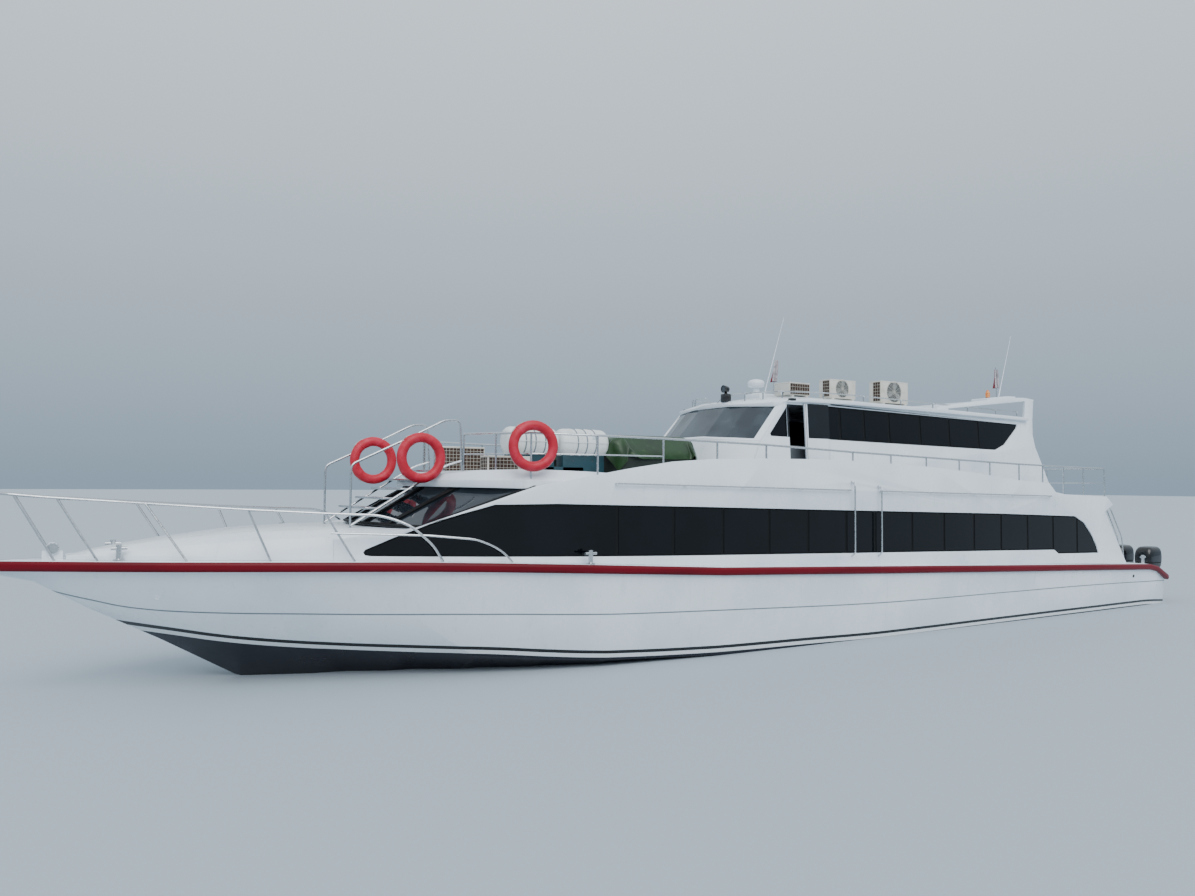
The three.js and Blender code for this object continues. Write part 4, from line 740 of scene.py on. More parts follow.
def block(bm, low, high, round_off=0.0, segments=2):
    """A box between two corners, with its edges rounded."""
    low, high = Vector(low), Vector(high)
    known = set(bm.verts)
    made = bmesh.ops.create_cube(bm, size=1)["verts"]
    bmesh.ops.scale(bm, vec=high - low, verts=made)
    bmesh.ops.translate(bm, vec=(low + high) / 2, verts=made)
    if round_off:
        round_edges(bm, edges_of(made), round_off, segments)
    return fresh(bm, known)


def upright_plate(bm, outline, y, half, round_off, segments=2):
    """A flat plate between two y values, cut to an outline in x and z."""
    known = set(bm.verts)
    side = bm.faces.new([bm.verts.new((x, y - half, z)) for x, z in outline])
    pulled(bm, [side], (0, 2 * half, 0))
    made = fresh(bm, known)
    face_out(bm, made)
    round_edges(bm, edges_of(made), round_off, segments)
    return fresh(bm, known)


def paint(verts, index):
    for face in faces_of(verts):
        face.material_index = index


# %% [markdown]
# ## Joining meshes
# Most fittings below mix turned parts, boxes and tubes of several finishes. It's simplest to build one mesh
# and paint its parts by material number, so a small helper adds a finished bmesh to another and says what
# is new.

# %% Add one mesh to another
def merged(bm, other):
    holder = bpy.data.meshes.new("holder")
    other.to_mesh(holder)
    other.free()
    known = set(bm.verts)
    bm.from_mesh(holder)
    bpy.data.meshes.remove(holder)
    return fresh(bm, known)


def wires(bm, runs, sides=0):
    return merged(bm, tube_mesh("wires", runs, sides))


# %% [markdown]
# ## Life rings
# A ring is a tube of foam in a stitched PVC cover, 766 mm across. A circle spun round makes it. Four bands
# hold a grab line that runs round the outside with a little slack between them, drawn as a thin tube.

# %% Measures and places of the rings
RING = {
    "centre": 0.308, "tube": 0.075, "bands": 4, "band_turn": math.radians(13), "proud": 0.003,
    "rope": 0.005, "slack": 0.012,
}
ROPE_STEPS = 72
UPRIGHT = Matrix.Rotation(math.radians(90), 4, "X")
RINGS = {
    "life_ring_1": ((6.850, -0.4877, 3.160), 0.0),
    "life_ring_2": ((6.560, 0.9077, 3.180), 0.0),
    "life_ring_3": ((5.242, 2.0347, 3.360), -math.atan2(0.187, 1.050)),
}


# %% Spin the rings
def tube_circle(bm, radius):
    circle = bmesh.ops.create_circle(bm, cap_ends=False, radius=radius, segments=16)["verts"]
    edges = edges_of(circle)
    stand = Matrix.Translation((RING["centre"], 0, 0)) @ UPRIGHT
    bmesh.ops.transform(bm, matrix=stand, verts=circle)
    return circle + edges


def life_ring(name, place, turn):
    bm = bmesh.new()
    spin(bm, tube_circle(bm, RING["tube"]), 2 * math.pi, 48)
    for band in range(RING["bands"]):
        known = set(bm.verts)
        spin(bm, tube_circle(bm, RING["tube"] + RING["proud"]), RING["band_turn"], 4)
        made = fresh(bm, known)
        bmesh.ops.holes_fill(bm, edges=[e for e in edges_of(made) if e.is_boundary])
        angle = math.pi / 4 + band * 2 * math.pi / RING["bands"]
        bmesh.ops.rotate(bm, cent=(0, 0, 0), matrix=Matrix.Rotation(angle, 3, "Z"), verts=made)
    rope_line = []
    for step in range(ROPE_STEPS + 1):
        angle = step * 2 * math.pi / ROPE_STEPS
        slack = RING["slack"] * (1 + math.cos(RING["bands"] * angle))
        reach = RING["centre"] + RING["tube"] + RING["rope"] - slack
        rope_line.append((reach * math.cos(angle), reach * math.sin(angle), RING["tube"] * 0.25))
    paint(wires(bm, [(RING["rope"], 0, rope_line)], 3), 1)
    bmesh.ops.recalc_face_normals(bm, faces=bm.faces)
    stand = Matrix.Translation(place) @ Matrix.Rotation(turn, 4, "Z") @ UPRIGHT
    bmesh.ops.transform(bm, matrix=stand, verts=bm.verts)
    piece = piece_from(bm, name + "_cover", [ring_red, rope_grey])
    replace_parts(piece, name)


for name, (place, turn) in RINGS.items():
    life_ring(name, place, turn)

# %% [markdown]
# ## Cabin handrails and the low roof rails
# A handrail runs along each cabin side on short stand-offs, with two bent grab rails by the side step. The
# low rails on the wheelhouse roof keep gear from sliding off. Their solids are part of the walls and the
# roof, so round tubes of the same thickness simply take over their surface, a hair proud.

# %% Measures of handrails, grabs and low rails
HAIR = 0.0004
HANDRAIL = {"out": 0.052, "radius": THIN + HAIR, "low": (-7.400, 2.603), "high": (3.880, 2.812)}
HANDRAIL_RUNS = [[3.880, 2.600, 1.380, 0.070, -1.160], [-1.990, -3.400, -4.780, -6.080, -7.400]]
GRABS = {
    "lines": [(-1.225, 1.510, 2.880), (-1.935, 1.490, 2.800)], "out": 0.090, "radius": 0.0154, "bend": 0.060
}
# Columns: x, y, z, from the middle of the roof's fore edge round to port and aft
LOW_RAIL = [
    (0.190, 0.060, 4.375), (0.150, 0.300, 4.530), (0.040, 0.760, 4.552), (-0.130, 1.080, 4.556),
    (-0.380, 1.330, 4.565), (-1.300, 1.480, 4.580), (-2.400, 1.480, 4.575), (-3.500, 1.480, 4.560),
    (-4.500, 1.480, 4.540), (-5.640, 1.480, 4.520), (-6.620, 1.480, 4.510), (-7.400, 1.480, 4.505),
]
LOW_POST_FOOT = 4.40


def handrail_z(x):
    (x0, z0), (x1, z1) = HANDRAIL["low"], HANDRAIL["high"]
    return z0 + (z1 - z0) * (x - x0) / (x1 - x0)


# %% Tubes of the handrails
hand_runs = []
for stops in HANDRAIL_RUNS:
    rail = [(x, wall_y(x) + HANDRAIL["out"], handrail_z(x)) for x in stops]
    hand_runs.append((HANDRAIL["radius"], 0.05, rail))
    hand_runs += [(HANDRAIL["radius"], 0, [(x, wall_y(x), z), (x, y, z)]) for x, y, z in rail]
for x, foot, head in GRABS["lines"]:
    wall, out, bend = wall_y(x), wall_y(x) + GRABS["out"], GRABS["bend"]
    line = [(x, wall, foot), (x, out, foot + bend), (x, out, head - bend), (x, wall, head)]
    hand_runs.append((GRABS["radius"], 0.04, line))
tubes("cabin_handrails", on_both_sides(hand_runs))
low_runs = [(THIN + HAIR, 0.05, LOW_RAIL)]
low_runs += [(THIN + HAIR, 0, [(x, y, LOW_POST_FOOT), (x, y, z)]) for x, y, z in LOW_RAIL[2:]]
tubes("low_roof_rails", on_both_sides(low_runs))
print("handrail runs", len(hand_runs))

# %% [markdown]
# ## Mooring gear
# Two posts joined by a bar, with a flange bolted to the deck: a bitt is what a boat is made fast by. Its
# posts are turned with a slight lip. The anchor windlass on the bow is a drum between two cheeks.

# %% Bitts and windlass
# Columns: x, y of the port one of each pair
BITTS = [(4.400, 2.310), (-11.250, 2.200), (10.560, 0.560)]
BITT = {"bar_up": 0.165, "bar": 0.023, "bar_half": 0.098}
# Columns: radius, height
BITT_PROFILE = [
    (0, 0.001), (0.071, 0.001), (0.071, 0.019), (0.066, 0.021), (0.040, 0.023), (0.035, 0.030),
    (0.035, 0.200), (0.038, 0.206), (0.038, 0.213), (0.034, 0.216), (0, 0.216),
]
WINDLASS = {"x": 11.3, "up": 0.150, "radius": 0.0755, "half": 0.151}
DRUM_PROFILE = [
    (0, -1), (0.9, -1), (1, -0.94), (1, -0.86), (0.66, -0.72), (0.6, -0.4), (0.6, 0.4), (0.66, 0.72),
    (1, 0.86), (1, 0.94), (0.9, 1), (0, 1),
]

gear = bmesh.new()
for x, y in BITTS:
    for side in (1, -1):
        place = Vector((x, side * y, deck_z(x)))
        spun(gear, BITT_PROFILE, place)
        bar = place + Vector((0, 0, BITT["bar_up"]))
        half = BITT["bar_half"]
        spun(gear, [(0, -half), (BITT["bar"], -half), (BITT["bar"], half), (0, half)], bar, "X", 20)
drum = [(r * WINDLASS["radius"], h * WINDLASS["half"]) for r, h in DRUM_PROFILE]
spun(gear, drum, Vector((WINDLASS["x"], 0, deck_z(WINDLASS["x"]) + WINDLASS["up"])), "Y")
piece_from(gear, "mooring_gear", [stainless])

# %% [markdown]
# ## The tarpaulin
# A sheet of green coated cloth is thrown over the spare raft. Nothing draws folds like gravity, so this one
# is simulated: a flat sheet falls on a slightly slimmer copy of the raft, comes to rest, and what it has
# become is kept as a mesh. Two subdivisions would smooth the folds away, so it gets one, and a few
# millimetres of thickness.

# %% Cloth and its finish
TARP = {"width": 3.02, "length": 2.50, "cell": 0.045, "middle": Vector((2.27, 0.04, 3.78)), "frames": 46}
TARP_CREASE, CREASE_SIZE, RIDGE_FOOT = 0.055, 0.38, 3.2
RAFT_SHRINK, RAFT_LOWER, TARP_THICK = Vector((0.965, 0.970, 1.0)), 0.022, 0.003
tarp_green = new_finish("coated_green_tarpaulin", "#123A0B", 0.42, {"Sheen Weight": 0.1})
patina(tarp_green, "#0C2608", 0.5, 0.4, 0.62, 0.9)
patina(tarp_green, "#3C6A2C", 0.12, 0.6, 0.78, 0.5)
patina(tarp_green, "#8A8F7C", 0.05, 0.7, 0.8, 0.35)
grain(tarp_green, 0.006, 0.0006, "TexVoronoi")
# The raft under the sheet is dark fabric, made near black as painted shade for the gap under the tarpaulin's
# hem.
raft_fabric_and_painted_shade = new_finish("raft_fabric_with_painted_shade", "#0F1A14", 0.7)
patina(raft_fabric_and_painted_shade, "#1C2A22", 0.2, 0.45, 0.7, 0.8)
grain(raft_fabric_and_painted_shade, 0.01, 0.002)

# %% What the cloth falls on
raft = welded("raft_cover")
centre = sum((v.co for v in raft.verts), Vector()) / len(raft.verts)
bmesh.ops.scale(raft, vec=RAFT_SHRINK, space=Matrix.Translation(-centre), verts=raft.verts)
bmesh.ops.translate(raft, vec=(0, 0, -RAFT_LOWER), verts=raft.verts)
ridges = [
    e for e in raft.edges if e.calc_face_angle(0) > SHARP and max(v.co.z for v in e.verts) > RIDGE_FOOT
]
round_edges(raft, ridges, 0.05, 3)
raft_body = piece_from(raft, "covered_raft", [raft_fabric_and_painted_shade])

# %% Drop the cloth
cloth_bm = bmesh.new()
columns, rows = (round(TARP[side] / TARP["cell"]) for side in ("length", "width"))
bmesh.ops.create_grid(cloth_bm, x_segments=columns, y_segments=rows, size=0.5)
bmesh.ops.scale(cloth_bm, vec=(TARP["length"], TARP["width"], 1), verts=cloth_bm.verts)
for vert in cloth_bm.verts:
    vert.co.z += TARP_CREASE * noise.noise(vert.co / CREASE_SIZE)
bmesh.ops.translate(cloth_bm, vec=TARP["middle"], verts=cloth_bm.verts)
tarp = piece_from(cloth_bm, "raft_tarpaulin", [tarp_green])
shape = raft_body.modifiers.new("touch", "COLLISION")
raft_body.collision.thickness_outer = 0.01
raft_body.collision.cloth_friction = 20
drape = tarp.modifiers.new("drape", "CLOTH")
drape.settings.quality = 7
drape.settings.mass = 0.25
drape.settings.tension_stiffness = drape.settings.compression_stiffness = 40
drape.settings.shear_stiffness = 12
drape.settings.bending_stiffness = 0.5
drape.settings.air_damping = 2
drape.collision_settings.distance_min = 0.008
drape.collision_settings.use_self_collision = True
drape.collision_settings.self_distance_min = 0.006
drape.point_cache.frame_end = TARP["frames"]
for frame_number in range(1, TARP["frames"] + 1):
    bpy.context.scene.frame_set(frame_number)
fallen = bpy.data.meshes.new_from_object(tarp.evaluated_get(bpy.context.evaluated_depsgraph_get()))
tarp.modifiers.remove(drape)
raft_body.modifiers.remove(shape)
tarp.data = fallen
bpy.context.scene.frame_set(1)
smooth_all(tarp)
thickness = tarp.modifiers.new("thickness", "SOLIDIFY")
thickness.thickness = TARP_THICK
thickness.offset = 1
folds = tarp.modifiers.new("folds", "SUBSURF")
folds.levels = folds.render_levels = 1
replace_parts(tarp, "raft_cover")
print("tarp lowest", round(min(v.co.z for v in tarp.data.vertices), 3))

# %% [markdown]
# ## Life-raft containers
# Each container is two halves of glass fibre clamped together along a flange at half height, with moulded
# ribs round it for the lashing straps and a domed end. It is turned from a profile; the ribs and straps are
# turned too, and the flange is a thin plate with the container's own outline. One carries a plain vinyl
# patch.

# %% Shapes of the containers and their cradle
RAFT = {"radius": 0.234, "half": 0.459, "y": 0.900, "z": 3.480, "xs": [4.720, 3.760]}
# Columns: share of the radius, share of the half length, from the end to the straight part
RAFT_PROFILE = [
    (0.00, -1.000), (0.45, -0.996), (0.68, -0.982), (0.83, -0.945), (0.93, -0.885), (0.985, -0.81),
    (1.00, -0.74),
]
RIBS = {"at": [-0.52, -0.17, 0.17, 0.52], "half": 0.028, "out": 0.004}
FLANGE = {"out": 0.012, "thick": 0.009}
STRAPS = {"at": [-0.38, 0.0, 0.38], "half": 0.013, "out": 0.006}
BAND_SUNK = 0.004  # how deep a rib or a strap starts inside the container
LABEL = {"low": (-0.20, 0.035), "high": (-0.07, 0.120), "turn": math.radians(24), "proud": 0.0012}
CRADLE = {"y0": 0.790, "y1": 1.010, "long": 0.400, "top": 3.310, "beam_top": 3.080, "foot": 2.86}
raft_label = new_finish("blank_vinyl_label", "#C9D6DC", 0.35)
patina(raft_label, "#9FB4BF", 0.03, 0.5, 0.65, 0.8)


fore_half = [(r * RAFT["radius"], h * RAFT["half"]) for r, h in RAFT_PROFILE]
raft_line = fore_half + [(r, -h) for r, h in reversed(fore_half)]


def hoop(bm, at, half, out, place):
    """A flat band round a container, at a share of its half length."""
    middle, inner, outer = at * RAFT["half"], RAFT["radius"] - BAND_SUNK, RAFT["radius"] + out
    line = [
        (inner, middle - half), (outer, middle - half * 0.7), (outer, middle + half * 0.7),
        (inner, middle + half), (inner, middle - half),
    ]
    return spun(bm, line, place, "X", 40)


# %% Build the containers
rafts = bmesh.new()
for x in RAFT["xs"]:
    place = Vector((x, RAFT["y"], RAFT["z"]))
    spun(rafts, raft_line, place, "X", 48)
    for at in RIBS["at"]:
        hoop(rafts, at, RIBS["half"], RIBS["out"], place)
    for at in STRAPS["at"]:
        paint(hoop(rafts, at, STRAPS["half"], STRAPS["out"], place), 1)
    known = set(rafts.verts)
    ring = [(h, r + FLANGE["out"]) for r, h in raft_line]
    ring += [(h, -y) for h, y in reversed(ring)]
    level = place.z - FLANGE["thick"] / 2
    plate = rafts.faces.new([rafts.verts.new((*(place.xy + Vector(p)), level)) for p in ring])
    pulled(rafts, [plate], (0, 0, FLANGE["thick"]))
    bmesh.ops.remove_doubles(rafts, verts=fresh(rafts, known), dist=1e-4)
    face_out(rafts, fresh(rafts, known))
    low = (x - CRADLE["long"], CRADLE["y0"], CRADLE["foot"])
    paint(block(rafts, low, (x + CRADLE["long"], CRADLE["y1"], CRADLE["top"]), 0.008), 2)
low = (RAFT["xs"][1], CRADLE["y0"], CRADLE["foot"])
paint(block(rafts, low, (RAFT["xs"][0], CRADLE["y1"], CRADLE["beam_top"]), 0.008), 2)

# %% The vinyl patch
patch = bmesh.new()
size = [b - a for a, b in zip(LABEL["low"], LABEL["high"])]
bmesh.ops.create_grid(patch, x_segments=2, y_segments=8, size=0.5)
reach = RAFT["radius"] + LABEL["proud"]
for vert in patch.verts:
    turn = LABEL["turn"] + vert.co.y * size[1] / reach
    x = RAFT["xs"][1] + (LABEL["low"][0] + (vert.co.x + 0.5) * size[0])
    vert.co = Vector((x, RAFT["y"] + reach * math.cos(turn), RAFT["z"] + reach * math.sin(turn)))
bmesh.ops.recalc_face_normals(patch, faces=patch.faces)
bmesh.ops.solidify(patch, geom=patch.faces[:], thickness=-LABEL["proud"])
paint(merged(rafts, patch), 3)
containers = piece_from(
    rafts, "raft_containers", [raft_grp, webbing, teal_paint, raft_label]
)
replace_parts(containers, "life_rafts")

# %% [markdown]
# ## Outdoor air-conditioning units
# These are household split units, bolted to the roofs. The case is folded sheet steel with a lid whose rim
# hangs over. Behind the fan's round guard a rotor turns in a dark bell, and the coil shows its aluminium
# fins through a wire guard on the back and one end. Salt air has eaten the coils brown. The same few
# helpers make all five: a case, a guarded coil on a face, and a fan on a face.

# %% Unit parts
CASE, COIL, WIRE, FAN_DARK, FAN_GREY = range(5)  # in UNIT_FINISHES
LID = {"drop": 0.030, "out": 0.003}
GUARD = {"radius": 0.0028, "out": 0.006, "pitch": 0.062}
COIL_RIM = 0.016
FAN = {"rings": 6, "spokes": 12, "hub": 0.26, "rim": 1.10, "blades": 3, "blade": 0.36, "wire": 0.0024}
guard_wire = new_finish("coated_steel_guard_wire", "#C8C4B8", 0.45)
patina(guard_wire, "#8C5A36", 0.02, 0.6, 0.75, 0.9)
bell_dark = new_finish("dark_fan_bell", "#4A4F52", 0.7)
patina(bell_dark, "#60666A", 0.1, 0.45, 0.7, 0.6)
UNIT_FINISHES = [unit_enamel, coil_fins, guard_wire, bell_dark, fan_grey]


# %% Box sides, cases and coils
def axes_of(side):
    """The axis and the direction of a box side, such as '+y' or '-x'."""
    return ("x", "y", "z").index(side[1]), (1 if side[0] == "+" else -1)


def face_frame(low, high, side):
    """The corner, the two spans and the outward normal of a box's upright side."""
    axis, sign = axes_of(side)
    normal = Vector((0, 0, 0))
    normal[axis] = sign
    across = Vector((0, 0, 1)).cross(normal)
    corner = Vector((0, 0, low[2]))
    corner[axis] = high[axis] if sign > 0 else low[axis]
    other = 1 - axis
    corner[other] = low[other] if across[other] > 0 else high[other]
    return corner, across * (high[other] - low[other]), Vector((0, 0, high[2] - low[2])), normal


def unit_case(bm, low, high):
    paint(block(bm, low, high, 0.008), CASE)
    lid_low = Vector((low[0], low[1], high[2] - LID["drop"]))
    grow = Vector((LID["out"], LID["out"], 0))
    paint(block(bm, lid_low - grow, Vector(high) + grow, 0.006), CASE)


def coil_face(bm, low, high, side, start=(0.0, 0.0), end=(1.0, 1.0)):
    """Set a block of fins a little proud of a share of a side, and put a wire guard over it."""
    corner, across, rise, normal = face_frame(low, high, side)
    along, upwards = across.normalized(), rise.normalized()
    a = corner + across * start[0] + rise * start[1] + along * COIL_RIM + upwards * COIL_RIM
    b = corner + across * end[0] + rise * end[1] - along * COIL_RIM - upwards * COIL_RIM
    fin_a, fin_b = a - normal * 0.01, b + normal * 0.0015
    lows = [min(p, q) for p, q in zip(fin_a, fin_b)]
    highs = [max(p, q) for p, q in zip(fin_a, fin_b)]
    paint(block(bm, lows, highs, 0.001, 1), COIL)
    foot = a + normal * GUARD["out"]
    width, height = along * (b - a).dot(along), upwards * (b - a).z
    runs = []
    for step, length in ((width, height), (height, width)):
        count = max(2, round(step.length / GUARD["pitch"]))
        for i in range(count + 1):
            start_point = foot + step * i / count
            runs.append((GUARD["radius"], 0, [start_point, start_point + length]))
    paint(wires(bm, runs), WIRE)


# %% Fans
def on_circle(turn, radius):
    return Vector((math.cos(turn), 0, math.sin(turn))) * radius


def fan_face(bm, centre, radius):
    """A dark bell, a rotor with wide blades, and a guard of rings and spokes."""
    hub, rim = radius * FAN["hub"], radius * FAN["rim"]
    ring = [
        (radius, -0.002), (radius * 1.04, 0.002), (rim, 0.002), (rim, -0.004), (radius, -0.004),
        (radius, -0.002),
    ]
    bell = [(0, 0.0008), (radius, 0.0008), (radius, -0.002), (0, -0.002)]
    cap = [(0, 0.010), (hub * 0.9, 0.010), (hub, 0.006), (hub, 0.0), (0, 0.0)]
    for profile, steps, finish in ((ring, 40, CASE), (bell, 40, FAN_DARK), (cap, 24, FAN_GREY)):
        paint(spun(bm, profile, centre, "Y", steps), finish)
    for number in range(FAN["blades"]):
        blade = bmesh.ops.create_circle(
            bm, cap_ends=True, radius=radius * FAN["blade"], segments=12
        )["verts"]
        bmesh.ops.scale(bm, vec=(1.0, 0.72, 1), verts=blade)
        bmesh.ops.translate(bm, vec=(radius * 0.60, 0, 0.0025), verts=blade)
        blade = blade + pulled(bm, faces_of(blade), (0, 0, 0.002))
        turned = Matrix.Rotation(number * 2 * math.pi / FAN["blades"] + 0.4, 4, "Z")
        stand = Matrix.Translation(centre) @ Matrix.Rotation(math.radians(-90), 4, "X")
        bmesh.ops.transform(bm, matrix=stand @ turned, verts=blade)
        paint(blade, FAN_GREY)
    lift = Vector((0, 0.013, 0))
    runs = []
    for number in range(1, FAN["rings"] + 1):
        reach = radius * number / FAN["rings"]
        circle = [centre + lift + on_circle(k * 2 * math.pi / 24, reach) for k in range(25)]
        runs.append((FAN["wire"], 0, circle))
    for number in range(FAN["spokes"]):
        end = centre + lift * 0.2 + on_circle(number * 2 * math.pi / FAN["spokes"], radius * 1.06)
        runs.append((FAN["wire"], 0, [centre + lift, end]))
    paint(wires(bm, runs), WIRE)


# %% Units on the wheelhouse roof
# Columns: fore x, aft x, inboard y, port y, foot z, top z
AC_UNITS = [
    (-0.576, -1.122, 0.890, 1.330, 4.5177, 4.765),
    (-1.700, -2.430, 0.960, 1.280, 4.5242, 4.900),
    (-3.140, -3.980, 0.960, 1.290, 4.5058, 4.960),
]
LEG = {"in": 0.090, "half": 0.030, "drop": 0.050}
# Columns: share along, share up, radius as a share of the height. The first unit shows no fan
FANS = [None, (0.47, 0.52, 0.460), (0.48, 0.52, 0.465)]
# How far a case stays inside its solid, so that guards and lid keep within it
INSIDE, TOP_INSIDE, FAN_ROOM, GUARD_ROOM = 0.008, 0.002, 0.016, 0.012
for number, ((fore, aft, y0, y1, foot, top), fan) in enumerate(zip(AC_UNITS, FANS), 1):
    unit = bmesh.new()
    low = (aft + INSIDE, y0 + INSIDE, foot)
    high = (fore - INSIDE, y1 - FAN_ROOM, top - TOP_INSIDE)
    unit_case(unit, low, high)
    for x in (fore - LEG["in"], aft + LEG["in"]):
        leg_low = (x - LEG["half"], y0 + INSIDE, foot - LEG["drop"])
        paint(block(unit, leg_low, (x + LEG["half"], y1 - INSIDE, foot + 0.002), 0.004), CASE)
    if fan:
        height = high[2] - low[2]
        centre = Vector((high[0] - fan[0] * (high[0] - low[0]), high[1] + 0.001, low[2] + fan[1] * height))
        fan_face(unit, centre, fan[2] * height)
        coil_face(unit, low, high, "+x", (0.30, 0.04))
    else:
        coil_face(unit, low, high, "+y")
    coil_face(unit, low, high, "-y")
    case = piece_from(unit, f"ac_unit_{number}_case", UNIT_FINISHES)
    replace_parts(case, f"ac_unit_{number}")

# %% Condensers on the saloon roof
# Columns: aft x, fore x, y0, y1, top z
CONDENSERS = [(4.950, 5.750, -0.620, -0.300, 3.420), (4.900, 5.650, 1.020, 1.320, 3.230)]
CONDENSER_FOOT, COIL_FOOT = 2.86, 2.97
for number, (aft, fore, y0, y1, top) in enumerate(CONDENSERS, 1):
    unit = bmesh.new()
    low = (aft + INSIDE, y0 + INSIDE, CONDENSER_FOOT)
    high = (fore - INSIDE, y1 - GUARD_ROOM, top - TOP_INSIDE)
    unit_case(unit, low, high)
    seen = (low[0], low[1], COIL_FOOT)
    coil_face(unit, seen, high, "+y", end=(0.72, 1.0) if number == 2 else (1.0, 1.0))
    coil_face(unit, seen, high, "+x")
    coil_face(unit, seen, high, "-x")
    case = piece_from(unit, f"condenser_{number}_case", UNIT_FINISHES)
    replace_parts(case, f"condenser_{number}")
print("units", len(AC_UNITS) + len(CONDENSERS))

# %% [markdown]
# ## Masts, aerials and flags
# A radome sits on a white plinth ahead of the units, with a whip aerial and a short flagstaff. Aft, on the
# wing, stand another aerial and staff, an orange lantern and a small red lamp. The whips are glass fibre,
# thicker at the ferrule than at the tip. The flags are plain red and white cloth, wound round their staffs
# by the wind: each is a grid whose rows follow one zigzag path about the staff, wider at the hem than at
# the head.

# %% Whips and flags
FERRULE, WHIP = {"radius": 0.012, "long": 0.22}, {"foot": 0.009, "tip": 0.004}
FLAG_RISE, FLAG_COLUMNS, FLAG_ROWS = 0.42, 72, 22
FLAG = {
    "red_from": 0.12, "core": 0.0125, "head": 0.046, "flare": 0.040, "folds": 9, "sag": 0.05, "thick": 0.0008
}
flag_red = new_finish("red_flag_bunting", "#8E1224", 0.75, {"Sheen Weight": 0.3})
patina(flag_red, "#4A0C18", 0.05, 0.45, 0.7, 0.7)
grain(flag_red, 0.002, 0.0004, "TexVoronoi")
flag_white = new_finish("white_flag_bunting", "#B9B2B6", 0.75, {"Sheen Weight": 0.3})
patina(flag_white, "#6D6670", 0.06, 0.45, 0.7, 0.7)
grain(flag_white, 0.002, 0.0004, "TexVoronoi")


def whip(bm, foot, tip):
    """A tapered aerial on a thicker ferrule, turned about its own line."""
    foot, tip = Vector(foot), Vector(tip)
    length = (tip - foot).length
    line = [
        (0, 0), (FERRULE["radius"], 0), (FERRULE["radius"], FERRULE["long"]),
        (WHIP["foot"], FERRULE["long"] + 0.02),
        (WHIP["tip"], length - 0.004), (0, length),
    ]
    return spun(bm, line, foot, tip - foot, 12)


# %% Furl a flag
def furled_flag(name, middle, staff_lean):
    bm = bmesh.new()
    bmesh.ops.create_grid(bm, x_segments=FLAG_COLUMNS, y_segments=FLAG_ROWS, size=0.5)
    for face in bm.faces:
        face.material_index = int(face.calc_center_median().x > FLAG["red_from"])
    for vert in bm.verts:
        across, down = vert.co.x + 0.5, 0.5 - vert.co.y
        reach = FLAG["head"] + FLAG["flare"] * down
        turn = 2 * math.pi * (0.15 + 1.1 * across) + 0.5 * down
        fold = 0.5 - 0.5 * math.cos(across * FLAG["folds"] * math.pi)
        swell = 0.75 + 0.25 * math.sin(7 * across + 3 * down)
        radius = FLAG["core"] + (reach - FLAG["core"]) * fold * swell
        rise = FLAG_RISE * (0.5 - down) - FLAG["sag"] * down * across * (1 - across)
        lean = Vector(staff_lean) * rise
        vert.co = Vector(middle) + lean + Vector((radius * math.cos(turn), radius * math.sin(turn), rise))
    area = sum(face.calc_area() for face in bm.faces)
    flag = piece_from(bm, name, [flag_red, flag_white], smooth=False)
    smooth_all(flag)
    cloth = flag.modifiers.new("cloth", "SOLIDIFY")
    cloth.thickness = FLAG["thick"]
    cloth.offset = 0
    width = round(area / FLAG_RISE, 2)
    return width


# %% Fore mast
STEEL, LENS, RED, BLACK = range(1, 5)  # in MAST_FINISHES
MAST_FINISHES = [gelcoat_white, stainless, orange_lens, red_lens, helm_plastic]
# Columns: radius, height
RADOME_PROFILE = [
    (0, -0.060), (0.128, -0.060), (0.126, -0.052), (0.088, -0.022), (0.070, 0.000), (0.060, 0.080),
    (0.064, 0.098), (0.148, 0.114), (0.163, 0.126), (0.1685, 0.152), (0.1655, 0.156), (0.1655, 0.161),
    (0.170, 0.165), (0.1690, 0.190), (0.158, 0.217), (0.135, 0.238), (0.105, 0.251), (0.055, 0.262),
    (0, 0.265),
]
mast = bmesh.new()
block(mast, (-1.000, 0.130, 4.470), (-0.480, 0.600, 4.600), 0.022, 3)
spun(mast, RADOME_PROFILE, Vector((-0.650, 0.300, 4.640)), "Z", 40)
whip(mast, (-0.900, 0.250, 4.590), (-1.450, 0.250, 6.250))
paint(wires(mast, [(0.010, 0, [(-0.871, 0.540, 4.590), (-0.960, 0.540, 5.290)])], 2), STEEL)
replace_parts(piece_from(mast, "fore_mast", MAST_FINISHES), "mast_fore")
print("fore flag width", furled_flag("fore_flag", (-0.932, 0.540, 5.070), (-0.127, 0, 0)))

# %% Aft mast
LANTERN = Vector((-6.750, 1.200, 4.775))
# Columns: radius, height
LANTERN_PROFILE = [
    (0, 0), (0.058, 0), (0.058, 0.020), (0.050, 0.026), (0.046, 0.034), (0.052, 0.050), (0.047, 0.062),
    (0.054, 0.078), (0.049, 0.090), (0.054, 0.106), (0.049, 0.118), (0.052, 0.134), (0.044, 0.150),
    (0.030, 0.172), (0.026, 0.196), (0.012, 0.212), (0, 0.214),
]
RED_LAMP = Vector((-6.560, 1.150, 4.640))
